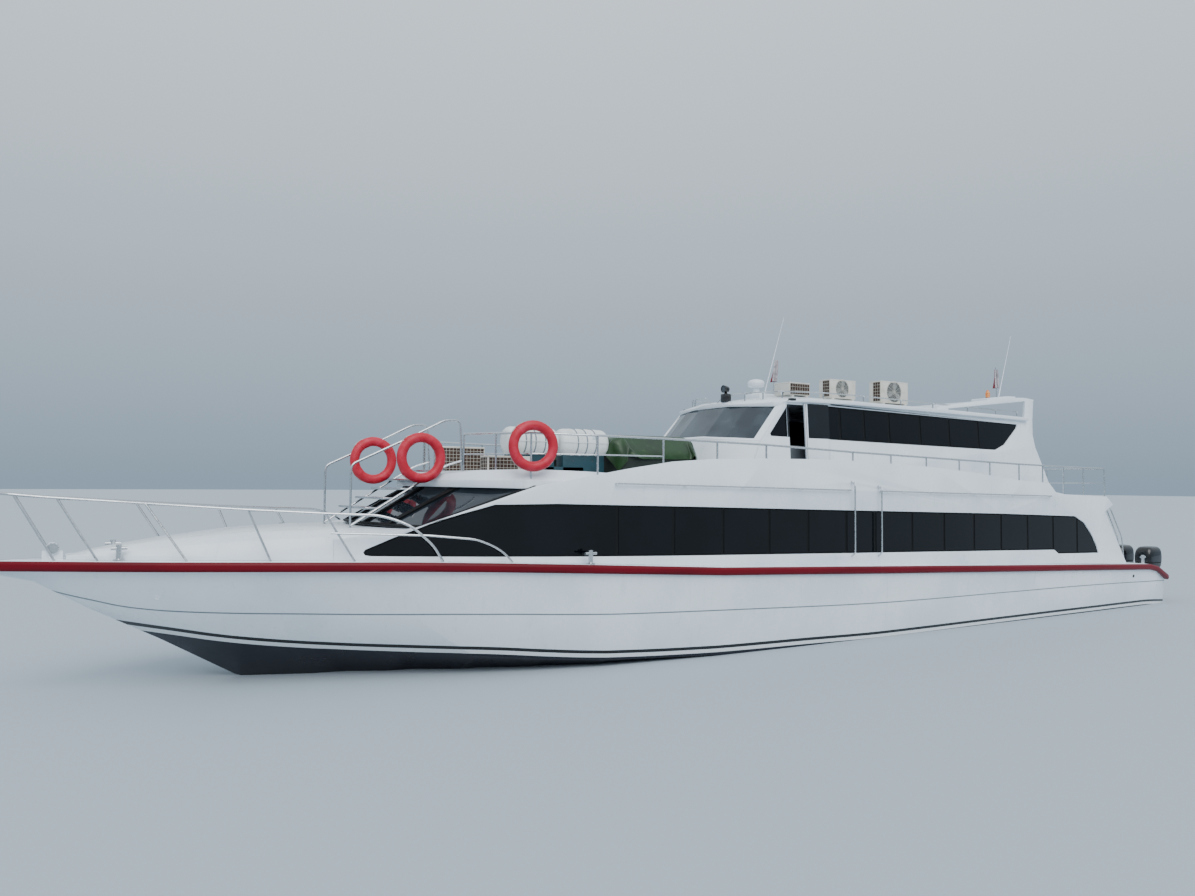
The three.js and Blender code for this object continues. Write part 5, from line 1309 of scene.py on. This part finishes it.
# Columns: x, z
PLINTH = [(-7.660, 4.770), (-7.660, 4.880), (-7.336, 4.870), (-6.620, 4.790), (-6.620, 4.690)]
PLINTH_Y, PLINTH_HALF = 1.075, 0.215
mast = bmesh.new()
upright_plate(mast, PLINTH, PLINTH_Y, PLINTH_HALF, 0.018, 3)
whip(mast, (-7.575, 0.900, 4.860), (-8.080, 0.900, 6.380))
paint(wires(mast, [(0.010, 0, [(-7.368, 1.000, 4.850), (-7.340, 1.000, 5.560)])], 2), STEEL)
lantern = spun(mast, LANTERN_PROFILE, LANTERN, "Z", 28)
paint(lantern, LENS)
paint([v for v in lantern if v.co.z < LANTERN.z + 0.028], BLACK)
dome = [(0, 0), (0.030, 0), (0.030, 0.018), (0.024, 0.022), (0.023, 0.048), (0.014, 0.062), (0, 0.066)]
paint(spun(mast, dome, RED_LAMP, "Z", 20), RED)
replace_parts(piece_from(mast, "aft_mast", MAST_FINISHES), "mast_aft")
print("aft flag width", furled_flag("aft_flag", (-7.349, 1.000, 5.300), (0.039, 0, 0)))

# %% [markdown]
# ## Searchlight
# A black lamp on a stainless post, which turns on its base. The housing is spun sheet with cooling ribs
# behind, and the lens sits inside a bezel.

# %% Measures of the searchlight
LIGHT = {"x": 0.150, "y": 0.330, "post": 4.565, "above": 0.095}
# Columns: radius, distance forward
HOUSING = [
    (0, -0.069), (0.030, -0.068), (0.044, -0.060), (0.051, -0.046), (0.050, -0.042), (0.056, -0.034),
    (0.055, -0.030), (0.061, -0.020), (0.060, -0.016), (0.066, -0.002), (0.071, 0.030), (0.0735, 0.050),
    (0.0735, 0.068), (0.069, 0.0695), (0.065, 0.066), (0.064, 0.058), (0, 0.056),
]
BASE_PROFILE = [
    (0, 0.0004), (0.039, 0.0004), (0.039, 0.008), (0.032, 0.014), (0.022, 0.030), (0.022, 0.040), (0, 0.040),
]
LENS_FROM, LENS_TO = 0.0555, 0.06
YOKE = {"y": 0.0690, "half": 0.0015, "x": 0.011, "foot": 0.030, "high": 0.085}
lamp_black = new_finish("black_lamp_enamel", "#0B0C0E", 0.3, {"Coat Weight": 0.4})
patina(lamp_black, "#2C3034", 0.05, 0.55, 0.75, 0.5)

# %% Turn the lamp
head = bmesh.new()
centre = Vector((LIGHT["x"], LIGHT["y"], LIGHT["post"]))
spun(head, BASE_PROFILE, centre)
body = spun(head, HOUSING, centre + Vector((0, 0, LIGHT["above"])), "X", 36)
lens = [v for v in body if v.co.x > LIGHT["x"] + LENS_FROM and (v.co - centre).yz.length < 0.19]
for face in faces_of(lens):
    if face.normal.x > 0.98 and face.calc_center_median().x < LIGHT["x"] + LENS_TO:
        face.material_index = 1
for sign in (1, -1):
    low = centre + Vector((-YOKE["x"], sign * YOKE["y"] - YOKE["half"], YOKE["foot"]))
    block(head, low, low + Vector((2 * YOKE["x"], 2 * YOKE["half"], YOKE["high"])), 0.001, 1)
lamp = piece_from(head, "searchlight_lamp", [lamp_black, lamp_glass], "searchlight_head")
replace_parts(lamp, "searchlight_head")
print("searchlight at", [round(c, 2) for c in centre])

# %% [markdown]
# ## Outboard motors
# Four black outboards hang on the transom. A cowl is a moulded hood: a stack of level rings, each a rounded
# oblong, bridged from one to the next. The same helper makes the leg. Below it come a flat plate that keeps
# air from the propeller, the torpedo-shaped gear case and its skeg. A lighter band and a rubber seal part
# the hood from the pan.

# %% Motor shapes
OUTBOARD = {"ys": [1.700, 1.020, -1.020, -1.700], "prop_z": -0.560, "case_x": -12.485}
RING_STEPS = 32
# Columns: half length, half width, x, z
COWL = [
    (0.276, 0.176, -12.460, 0.772), (0.300, 0.196, -12.462, 0.800), (0.322, 0.212, -12.465, 0.850),
    (0.328, 0.216, -12.468, 0.915), (0.322, 0.211, -12.469, 0.921), (0.322, 0.211, -12.470, 0.931),
    (0.332, 0.2185, -12.471, 0.937), (0.335, 0.220, -12.475, 1.080), (0.322, 0.210, -12.482, 1.180),
    (0.300, 0.194, -12.490, 1.240), (0.262, 0.166, -12.495, 1.286), (0.210, 0.130, -12.500, 1.310),
    (0.130, 0.078, -12.502, 1.3185),
]
LEG_ROWS = [
    (0.130, 0.080, -12.410, 0.780), (0.127, 0.074, -12.407, 0.500), (0.125, 0.070, -12.405, 0.200),
    (0.134, 0.060, -12.415, -0.100), (0.150, 0.050, -12.430, -0.325),
]
STRUT_ROWS = [
    (0.170, 0.030, -12.440, -0.325), (0.176, 0.027, -12.450, -0.450), (0.180, 0.026, -12.460, -0.560)
]
# Columns: radius, distance aft
CASE_PROFILE = [
    (0, -0.259), (0.020, -0.254), (0.038, -0.232), (0.055, -0.185), (0.067, -0.125), (0.0715, -0.060),
    (0.072, 0.060), (0.072, 0.180), (0.066, 0.240), (0.058, 0.279), (0, 0.279),
]
# Columns: x, z
SKEG = [(-12.300, -0.600), (-12.640, -0.600), (-12.640, -0.760), (-12.560, -0.820)]
PLATE = ((-12.940, -0.150, -0.338), (-12.240, 0.150, -0.322))
cowl_grey = new_finish("grey_cowl_band", "#1B1F24", 0.35, {"Coat Weight": 0.2})
patina(cowl_grey, "#1B2024", 0.1, 0.45, 0.7, 0.6)


def rounded(value, power):
    return math.copysign(abs(value) ** power, value)


def ring_stack(bm, rows, y, power=0.5):
    """Bridge level rings of rounded oblongs, and close both ends."""
    rings, made = [], []
    for half_x, half_y, x, z in rows:
        ring = bmesh.ops.create_circle(bm, cap_ends=False, radius=1, segments=RING_STEPS)["verts"]
        for vert in ring:
            vert.co = Vector(
                (x + half_x * rounded(vert.co.x, power), y + half_y * rounded(vert.co.y, power), z)
            )
        made += ring
        rings.append(edges_of(ring))
    for low, high in zip(rings, rings[1:]):
        bmesh.ops.bridge_loops(bm, edges=low + high)
    for end in (rings[0], rings[-1]):
        bmesh.ops.holes_fill(bm, edges=end)
    face_out(bm, made)
    return made

# %% Build the motors
MOTOR_FINISHES = [cowl_black, cowl_grey, black_rubber, stainless]
YOKES = [
    ((-12.330, -0.050, 0.6903), (-12.170, 0.050, 0.7403)),
    ((-12.330, -0.050, 0.1697), (-12.170, 0.050, 0.2197)),
    ((-12.330, -0.050, 0.6903), (-12.290, 0.050, 0.7903)),
]
BAND, SEAL = (0.930, 1.075), (0.916, 0.936)
BAND_X, BAND_REACH = -12.47, 0.24
SHAFT = {"radius": 0.0238, "xs": (-12.600, -12.7697)}

for number, y in enumerate(OUTBOARD["ys"], 1):
    motor = bmesh.new()
    hood = ring_stack(motor, COWL, y)
    for face in faces_of(hood):
        middle = face.calc_center_median()
        if BAND[0] < middle.z < BAND[1] and abs(middle.x - BAND_X) < BAND_REACH:
            face.material_index = 1
        if SEAL[0] < middle.z < SEAL[1]:
            face.material_index = 2
    ring_stack(motor, LEG_ROWS, y, 0.7)
    ring_stack(motor, STRUT_ROWS, y, 0.8)
    spun(motor, CASE_PROFILE, Vector((OUTBOARD["case_x"], y, OUTBOARD["prop_z"])), "-X", 32)
    upright_plate(motor, SKEG, y, 0.009, 0.003)
    for low, high in [PLATE, *YOKES]:
        block(motor, Vector(low) + Vector((0, y, 0)), Vector(high) + Vector((0, y, 0)), 0.006)
    shaft = [(x, y, OUTBOARD["prop_z"]) for x in SHAFT["xs"]]
    paint(wires(motor, [(SHAFT["radius"], 0, shaft)], 4), 3)
    housing = piece_from(motor, f"motor_{number}_housing", MOTOR_FINISHES, f"motor_{number}")
    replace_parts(housing, f"motor_{number}")
print("motors", len(OUTBOARD["ys"]))

# %% [markdown]
# ## Propellers
# Three blades on a hub, cast in stainless steel. A blade begins as a flat grid. Its rows are given the
# width of a real blade, broad in the middle and round at the tip, and each row is turned more the nearer it
# is to the hub, because there the screw's pitch is steeper. A thickness closes it.

# %% Propellers
BLADE = {"count": 3, "root": 0.045, "tip": 0.186, "wide": 0.058, "thick": 0.006, "x": -12.835, "lead": 0.105}
# Columns: radius, distance aft
PROP_HUB = [
    (0, -0.0648), (0.052, -0.0648), (0.056, -0.055), (0.056, 0.040), (0.050, 0.0648), (0.034, 0.0648),
    (0.032, 0.056), (0, 0.056),
]
for number, y in enumerate(OUTBOARD["ys"], 1):
    prop = bmesh.new()
    middle = Vector((BLADE["x"], y, OUTBOARD["prop_z"]))
    spun(prop, PROP_HUB, middle, "-X", 30)
    for turn in range(BLADE["count"]):
        blade = bmesh.new()
        bmesh.ops.create_grid(blade, x_segments=8, y_segments=10, size=0.5)
        for vert in blade.verts:
            across, out = 2 * vert.co.x, vert.co.y + 0.5
            radius = BLADE["root"] + (BLADE["tip"] - BLADE["root"]) * out
            # Narrow at the hub, fullest near the middle, rounded at the tip
            fullness = 0.45 + 1.15 * math.sin(math.pi * min(1, 0.12 + 0.82 * out)) * 0.62
            half = BLADE["wide"] * fullness * max(0.05, 1 - out**6) ** 0.5
            pitch = math.atan2(BLADE["lead"], 1.6 * radius)
            reach = across * half
            angle = reach * math.cos(pitch) / radius
            vert.co = Vector(
                (reach * math.sin(pitch) * 0.72, radius * math.sin(angle), radius * math.cos(angle))
            )
        bmesh.ops.recalc_face_normals(blade, faces=blade.faces)
        bmesh.ops.solidify(blade, geom=blade.faces[:], thickness=BLADE["thick"])
        place = Matrix.Translation(middle) @ Matrix.Rotation(turn * 2 * math.pi / BLADE["count"], 4, "X")
        bmesh.ops.transform(blade, matrix=place, verts=blade.verts)
        merged(prop, blade)
    screw = piece_from(prop, f"propeller_{number}_screw", [stainless], f"propeller_{number}")
    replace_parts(screw, f"propeller_{number}")
print("propellers", len(OUTBOARD["ys"]))

# %% [markdown]
# ## Seats and helm
# The saloon has fifteen benches on each side of the aisle, three places wide, on moulded white bases, and
# the wheelhouse has two seats behind a console. Each pad is a cube cut into a grid and then stuffed: it is
# thinnest at its seam, crowned in the middle, and its sides pull in between the corners. The saloon has 180
# pads, so each is only a few dozen faces. The two helm seats get a finer grid, a piped seam and a smooth
# surface.

# %% Pads
ROW_XS = [-9.0 + 0.85 * row for row in range(15)]
BENCH = {"near": 0.320, "far": 1.800, "places": 3, "foot": 0.752, "join": 0.004}
SEAT = {"deep": 0.430, "pan": 0.090, "high": 0.420, "back": 0.090, "top": 1.000, "base_in": 0.060}
# Shares of a pad's half size: the sides' crown, their drawn-in middle, the thin edge, and the seam's place
PAD = {"waist": 0.12, "drawn": 0.022, "crown": 0.42, "seam": 0.975}
SOLE_BOARD = ((-9.100, -1.850, 0.7403), (3.700, 1.850, 0.7518))
sole_vinyl = new_finish("blue_grey_sole_vinyl", "#5C666E", 0.6)
patina(sole_vinyl, "#434C54", 0.6, 0.45, 0.7, 0.6)
base_gelcoat = gelcoat("seat_base_gelcoat", "#C9CDCF")


def pad(bm, low, high, cuts, piping=0.0):
    """Stuff the box between two corners, with crowned faces, thin edges and drawn-in sides."""
    low, high = Vector(low), Vector(high)
    middle, half = (low + high) / 2, (high - low) / 2
    thin = min(range(3), key=lambda axis: half[axis])
    wide = [axis for axis in range(3) if axis != thin]
    stuffed = bmesh.new()
    bmesh.ops.create_cube(stuffed, size=2)
    bmesh.ops.subdivide_edges(stuffed, edges=stuffed.edges[:], cuts=cuts, use_grid_fill=True)
    for vert in stuffed.verts:
        share = vert.co.copy()
        edge = max(abs(share[axis]) for axis in wide)
        for axis, other in (wide, wide[::-1]):
            bulge = 1 - PAD["waist"] * abs(share[thin]) ** 2 * (abs(share[axis]) > 0.99)
            share[axis] *= (1 - PAD["drawn"] * (1 - vert.co[other] ** 2)) * bulge
        share[thin] *= 1 - PAD["crown"] * edge**4
        vert.co = middle + Vector([share[axis] * half[axis] for axis in range(3)])
    merged(bm, stuffed)
    if piping:
        corners = [(1, 0), (1, 1), (-1, 1), (-1, -1), (1, -1), (1, 0)]
        seam = []
        for a, b in corners:
            point = middle.copy()
            for axis, sign in zip(wide, (a, b)):
                point[axis] += sign * (half[axis] * PAD["seam"] - piping)
            seam.append(point)
        wires(bm, [(piping, 0.03, seam)], 2)


def seat_pads(bm, x, low_y, high_y, foot, cuts, piping=0.0):
    pan_foot = foot + SEAT["high"] - SEAT["pan"]
    pad(bm, (x, low_y, pan_foot), (x + SEAT["deep"], high_y, foot + SEAT["high"]), cuts, piping)
    pad(bm, (x - SEAT["back"], low_y, pan_foot), (x, high_y, foot + SEAT["top"]), cuts, piping)


def seat_base(bm, x, low_y, high_y, foot):
    inset = SEAT["base_in"]
    high = foot + SEAT["high"] - SEAT["pan"]
    return block(
        bm, (x + inset, low_y + inset, foot), (x + SEAT["deep"] - inset, high_y - inset, high), 0.012, 1
    )


# %% Saloon benches
pads, bases = bmesh.new(), bmesh.new()
width = (BENCH["far"] - BENCH["near"]) / BENCH["places"]
for x in ROW_XS:
    for place in range(BENCH["places"]):
        near = BENCH["near"] + place * width + BENCH["join"] / 2
        for low_y in (near, -near - width + BENCH["join"]):
            seat_pads(pads, x, low_y, low_y + width - BENCH["join"], BENCH["foot"], 2)
    for low_y, high_y in ((BENCH["near"], BENCH["far"]), (-BENCH["far"], -BENCH["near"])):
        seat_base(bases, x, low_y, high_y, BENCH["foot"])
paint(block(bases, *SOLE_BOARD), 1)
saloon_pads = piece_from(pads, "saloon_seat_pads", [seat_vinyl], smooth=False)
smooth_all(saloon_pads)
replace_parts(saloon_pads, "saloon_seats")
bench_bases = piece_from(bases, "saloon_seat_bases", [base_gelcoat, sole_vinyl])
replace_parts(bench_bases, "saloon_seats")
print("benches", 2 * len(ROW_XS), "pad faces", len(saloon_pads.data.polygons))

# %% Measures of the helm
HELM = {"half": 0.900, "seat_x": -0.700, "seat_ys": [-0.450, 0.450], "seat_half": 0.260, "floor": 2.865}
# Columns: x, z
CONSOLE = [(0.560, 2.830), (0.560, 3.500), (0.380, 3.560), (0.060, 3.420), (0.060, 2.830)]
HELM_FLOOR = [(0.560, 2.705), (0.560, 2.890), (-0.900, 2.870), (-0.900, 2.705)]
WHEEL = {
    "middle": Vector((0.000, 0.450, 3.270)), "radius": 0.170, "rim": 0.012, "axis": Vector((-1, 0, 0.45)),
    "hub_back": 0.020, "spoke": 0.007, "spokes": (90, 210, 330),
}
WHEEL_HUB = [(0, -0.05), (0.022, -0.05), (0.030, 0), (0.036, 0.012), (0, 0.018)]
SCREENS = [0.450, 0.020, -0.430]
SCREEN_CASE = ((-0.110, -0.170, -0.004), (0.110, 0.170, 0.012))
SCREEN_GLASS = ((-0.094, -0.152, 0.0121), (0.094, 0.152, 0.0135))
DASH_X, DASH_Z, DASH_SLOPE = 0.222, 3.4905, math.atan2(0.140, 0.320)
screen_black = new_finish("switched_off_screen", "#090B0E", 0.05, {"Coat Weight": 0.6})
patina(screen_black, "#151A20", 0.2, 0.5, 0.7, 0.5)

# %% Console and seats
console = bmesh.new()
upright_plate(console, CONSOLE, 0, HELM["half"], 0.012)
upright_plate(console, HELM_FLOOR, 0, HELM["half"], 0.004)
seat_pad = bmesh.new()
for y in HELM["seat_ys"]:
    low_y, high_y = y - HELM["seat_half"], y + HELM["seat_half"]
    seat_base(console, HELM["seat_x"], low_y, high_y, HELM["floor"])
    seat_pads(seat_pad, HELM["seat_x"], low_y, high_y, HELM["floor"], 6, 0.004)
tilt = Matrix.Rotation(-DASH_SLOPE, 4, "Y")
for y in SCREENS:
    case = block(console, *SCREEN_CASE, 0.004)
    glass = block(console, *SCREEN_GLASS, 0.0005, 1)
    paint(glass, 1)
    place = Matrix.Translation((DASH_X, y, DASH_Z)) @ tilt
    bmesh.ops.transform(console, matrix=place, verts=case + glass)

# %% Steering wheel
ring = []
for step in range(11):
    turn = step * math.pi / 5
    ring.append((WHEEL["radius"] + WHEEL["rim"] * math.cos(turn), WHEEL["rim"] * math.sin(turn)))
spun(console, ring, WHEEL["middle"], WHEEL["axis"], 32)
hub = WHEEL["middle"] - WHEEL["axis"].normalized() * WHEEL["hub_back"]
spun(console, WHEEL_HUB, hub, WHEEL["axis"], 20)
port = Vector((0, 1, 0))
across = WHEEL["axis"].normalized().cross(port).normalized()
spokes = []
for turn in WHEEL["spokes"]:
    out = math.cos(math.radians(turn)) * port + math.sin(math.radians(turn)) * across
    spokes.append((WHEEL["spoke"], 0, [hub, WHEEL["middle"] + out * WHEEL["radius"]]))
paint(wires(console, spokes, 1), 2)
helm = piece_from(console, "helm_console", [helm_plastic, screen_black, stainless])
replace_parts(helm, "helm_station")
helm_pads = piece_from(seat_pad, "helm_seat_pads", [seat_vinyl], smooth=False)
smooth_all(helm_pads)
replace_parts(helm_pads, "helm_station")
print("helm seats", len(HELM["seat_ys"]))

# %% [markdown]
# ## Door glass and screen border
# Each side door of the wheelhouse has black glass stuck over its face, so that only its fore stile stays
# white, and black strips hide the jambs ahead of it. The screen has a printed black border that hides its
# glue. The border is a ring of flat strips laid just over the glass, from one corner post to the other.

# %% Side doors
LEAF_GLASS = {"x": (-1.257, -0.708), "z": (3.680, 4.326), "out": (0.0410, 0.0432)}
STILE_LINE = {"x": (-0.673, -0.661), "z": (3.010, 4.326), "out": (0.0410, 0.0426)}
JAMB = {"x": (-0.270, -0.228), "z": (3.690, 4.298), "out": (-0.0020, 0.0009)}
door_glass = new_finish("black_door_glass", "#04060A", 0.07, {"IOR": 1.52})
patina(door_glass, "#0C1219", 0.5, 0.45, 0.7, 0.6)


def on_house(bm, area, sign):
    """A thin block laid on the leaning wheelhouse side."""
    (x0, x1), (z0, z1), (out0, out1) = area["x"], area["z"], area["out"]
    made = block(bm, (x0, out0, z0), (x1, out1, z1), 0.0004, 1)
    for vert in made:
        vert.co.y = sign * (vert.co.y + house_y(vert.co.z))
    face_out(bm, made)
    return made


jambs = bmesh.new()
for side, sign in SIDES:
    glass = bmesh.new()
    on_house(glass, LEAF_GLASS, sign)
    paint(on_house(glass, STILE_LINE, sign), 1)
    piece_from(
        glass, f"side_door_glass_{side}", [door_glass, black_rubber], f"wheelhouse_door_{side}"
    )
    on_house(jambs, JAMB, sign)
piece_from(jambs, "doorway_strips", [door_glass])

# %% Outline of the screen border
# Columns: x, y, z, from the port edge to the middle
SCREEN_SILL = [(0.385, 1.600, 3.590), (0.555, 1.350, 3.600), (0.700, 0.950, 3.625), (0.785, 0.420, 3.660)]
SCREEN_BROW = [(-0.245, 1.560, 4.300), (-0.070, 1.320, 4.315), (0.070, 0.940, 4.345), (0.150, 0.400, 4.375)]
HOLE = {"post": 0.150, "rim": 0.050, "deep": 0.0215}
BORDER = {"wide": 0.048, "thick": 0.0015}


def both_halves(row):
    return [Vector(p) for p in row + flipped(row)[::-1]]


def screen_ring(inset):
    """The screen's opening as a closed ring of points, moved in by inset and down to the glass."""
    rows = [both_halves(SCREEN_SILL), both_halves(SCREEN_BROW)]
    for row in rows:
        for end, beside in ((0, 1), (-1, -2)):
            along = row[beside] - row[end]
            row[end] += along.normalized() * (HOLE["post"] + inset)
    ring = []
    for here, there in (rows, rows[::-1]):
        side = []
        for number, point in enumerate(here):
            rise = there[number] - point
            before, after = here[max(0, number - 1)], here[min(len(here) - 1, number + 1)]
            normal = rise.cross(after - before).normalized()
            normal *= math.copysign(1, normal.x)
            side.append(point + rise.normalized() * (HOLE["rim"] + inset) - normal * HOLE["deep"])
        ring += side if not ring else side[::-1]
    return ring


# %% Lay the border
border = bmesh.new()
outer = [border.verts.new(p) for p in screen_ring(0)]
inner = [border.verts.new(p) for p in screen_ring(BORDER["wide"])]
for number in range(len(outer)):
    border.faces.new([outer[number - 1], outer[number], inner[number], inner[number - 1]])
bmesh.ops.recalc_face_normals(border, faces=border.faces)
bmesh.ops.solidify(border, geom=border.faces[:], thickness=BORDER["thick"])
bmesh.ops.recalc_face_normals(border, faces=border.faces)
piece_from(border, "screen_border", [black_rubber])
print("door glasses 2, border strips", len(outer))

# %% [markdown]
# ## Last fittings
# These are small things that make the boat read as used: door windows and levers, lamps over the side
# doors, outlets in the topsides, the searchlight's box, a locker behind the port side doorway, and the rails
# that lead down to the stern deck.

# %% Aft doors
# Columns: aft face x, light's half width, light's foot and head, lever's y and z
AFT_DOORS = {
    "aft_door": (-9.600, 0.262, 1.487, 2.028, 0.330, 1.400),
    "upper_door": (-7.340, 0.202, 3.375, 3.928, 0.270, 3.300),
}
LEVER = {"out": 0.040, "long": 0.110, "radius": 0.008, "rose": 0.024}
for door, (x, half, foot, head, y, z) in AFT_DOORS.items():
    fitting = bmesh.new()
    block(fitting, (x + 0.015, -half, foot), (x + 0.021, half, head), 0.0008, 1)
    rose = [(0, -0.001), (LEVER["rose"], -0.001), (LEVER["rose"], 0.005), (0.012, 0.008), (0, 0.008)]
    metal = spun(fitting, rose, Vector((x, y, z)), "-X", 20)
    grip_x = x - LEVER["out"]
    lever = [(x, y, z), (grip_x, y, z), (grip_x, y - LEVER["long"], z)]
    paint(metal + wires(fitting, [(LEVER["radius"], 0.012, lever)], 2), 1)
    piece_from(fitting, f"{door}_window", [door_glass, stainless], door)

# %% Measures of the small fittings
SEARCHLIGHT_BOX = ((0.078, 0.255, 4.405), (0.222, 0.405, 4.5648))
SIDE_LAMP = ((-0.430, 1.560, 4.366), (-0.310, 1.654, 4.414))
LOCKER = ((-1.500, 0.930, 2.868), (-0.480, 1.240, 3.560))
# Columns: place, outward direction, radius, finish index
OUTLETS = [
    ((-10.440, 2.402, 0.730), (0, 1, -0.16), 0.034, 0),
    ((10.100, 0.641, 1.260), (0.40, 1, -0.60), 0.036, 1),
    ((-10.440, -2.402, 0.730), (0, -1, -0.16), 0.034, 0),
]
STERN_RAILS = {"y": 1.880, "radius": 0.013, "bend": 0.10, "z": (2.412, 2.300, 1.600, 0.990)}
STERN_RAIL_X = [(-9.950, -10.280, -10.740, -10.860), (-9.980, -10.450, -10.930, -11.020)]
locker_grey = new_finish("grey_locker_laminate", "#7C8388", 0.45)
patina(locker_grey, "#5E656A", 0.4, 0.45, 0.7, 0.6)

# %% Small fittings and stair rails
small = bmesh.new()
block(small, *SEARCHLIGHT_BOX, 0.010)
for sign in (1, -1):
    lamp = block(small, *SIDE_LAMP, 0.008)
    for vert in lamp:
        vert.co.y *= sign
    face_out(small, lamp)
paint(block(small, *LOCKER, 0.010), 2)
for place, out, radius, finish in OUTLETS:
    cup = [
        (0, -0.02), (radius, -0.02), (radius, 0.008), (radius * 0.72, 0.011), (radius * 0.6, 0.004),
        (0, 0.004),
    ]
    paint(spun(small, cup, Vector(place), out, 20), finish)
piece_from(small, "small_fittings", [lamp_black, gelcoat_white, locker_grey])
stern_runs = []
for across in STERN_RAIL_X:
    line = [(x, STERN_RAILS["y"], z) for x, z in zip(across, STERN_RAILS["z"])]
    stern_runs.append((STERN_RAILS["radius"], STERN_RAILS["bend"], line))
tubes("stern_stair_rails", on_both_sides(stern_runs))
print("outlets", len(OUTLETS))

# %% [markdown]
# ## Stage and light
# The part floats, so the floor stands at its waterline: a pale plain at z = 0. The light is a bright
# overcast sky, soft from everywhere, with one very wide sun for a little direction.

# %% Stage
floor_mesh = bmesh.new()
bmesh.ops.create_grid(floor_mesh, x_segments=1, y_segments=1, size=300)
floor_data = bpy.data.meshes.new("floor")
floor_mesh.to_mesh(floor_data)
floor_mesh.free()
floor = bpy.data.objects.new("floor", floor_data)
bpy.context.scene.collection.objects.link(floor)
floor_finish = new_finish("pale_floor", "#A9B4BC", 0.7)
floor_data.materials.append(floor_finish)

# %% Sky and sun
world = bpy.data.worlds.new("overcast")
world.use_nodes = True
sky = world.node_tree
glow = sky.nodes["Background"]
glow.inputs["Strength"].default_value = 1.3
height = node(sky, "SeparateXYZ", {"Vector": node(sky, "TexCoord").outputs["Generated"]}).outputs["Z"]
ramp = node(sky, "ValToRGB", {"Fac": height})
ramp.color_ramp.elements[0].color = linear("#8296A8")
ramp.color_ramp.elements[1].color = linear("#DCE8F2")
ramp.color_ramp.elements[1].position = 0.55
sky.links.new(ramp.outputs["Color"], glow.inputs["Color"])
bpy.context.scene.world = world
sun = bpy.data.objects.new("sky_light", bpy.data.lights.new("sky_light", "SUN"))
sun.data.energy = 2.1
sun.data.angle = math.radians(50)
sun.rotation_euler = (math.radians(-42), math.radians(12), 0)
bpy.context.scene.collection.objects.link(sun)
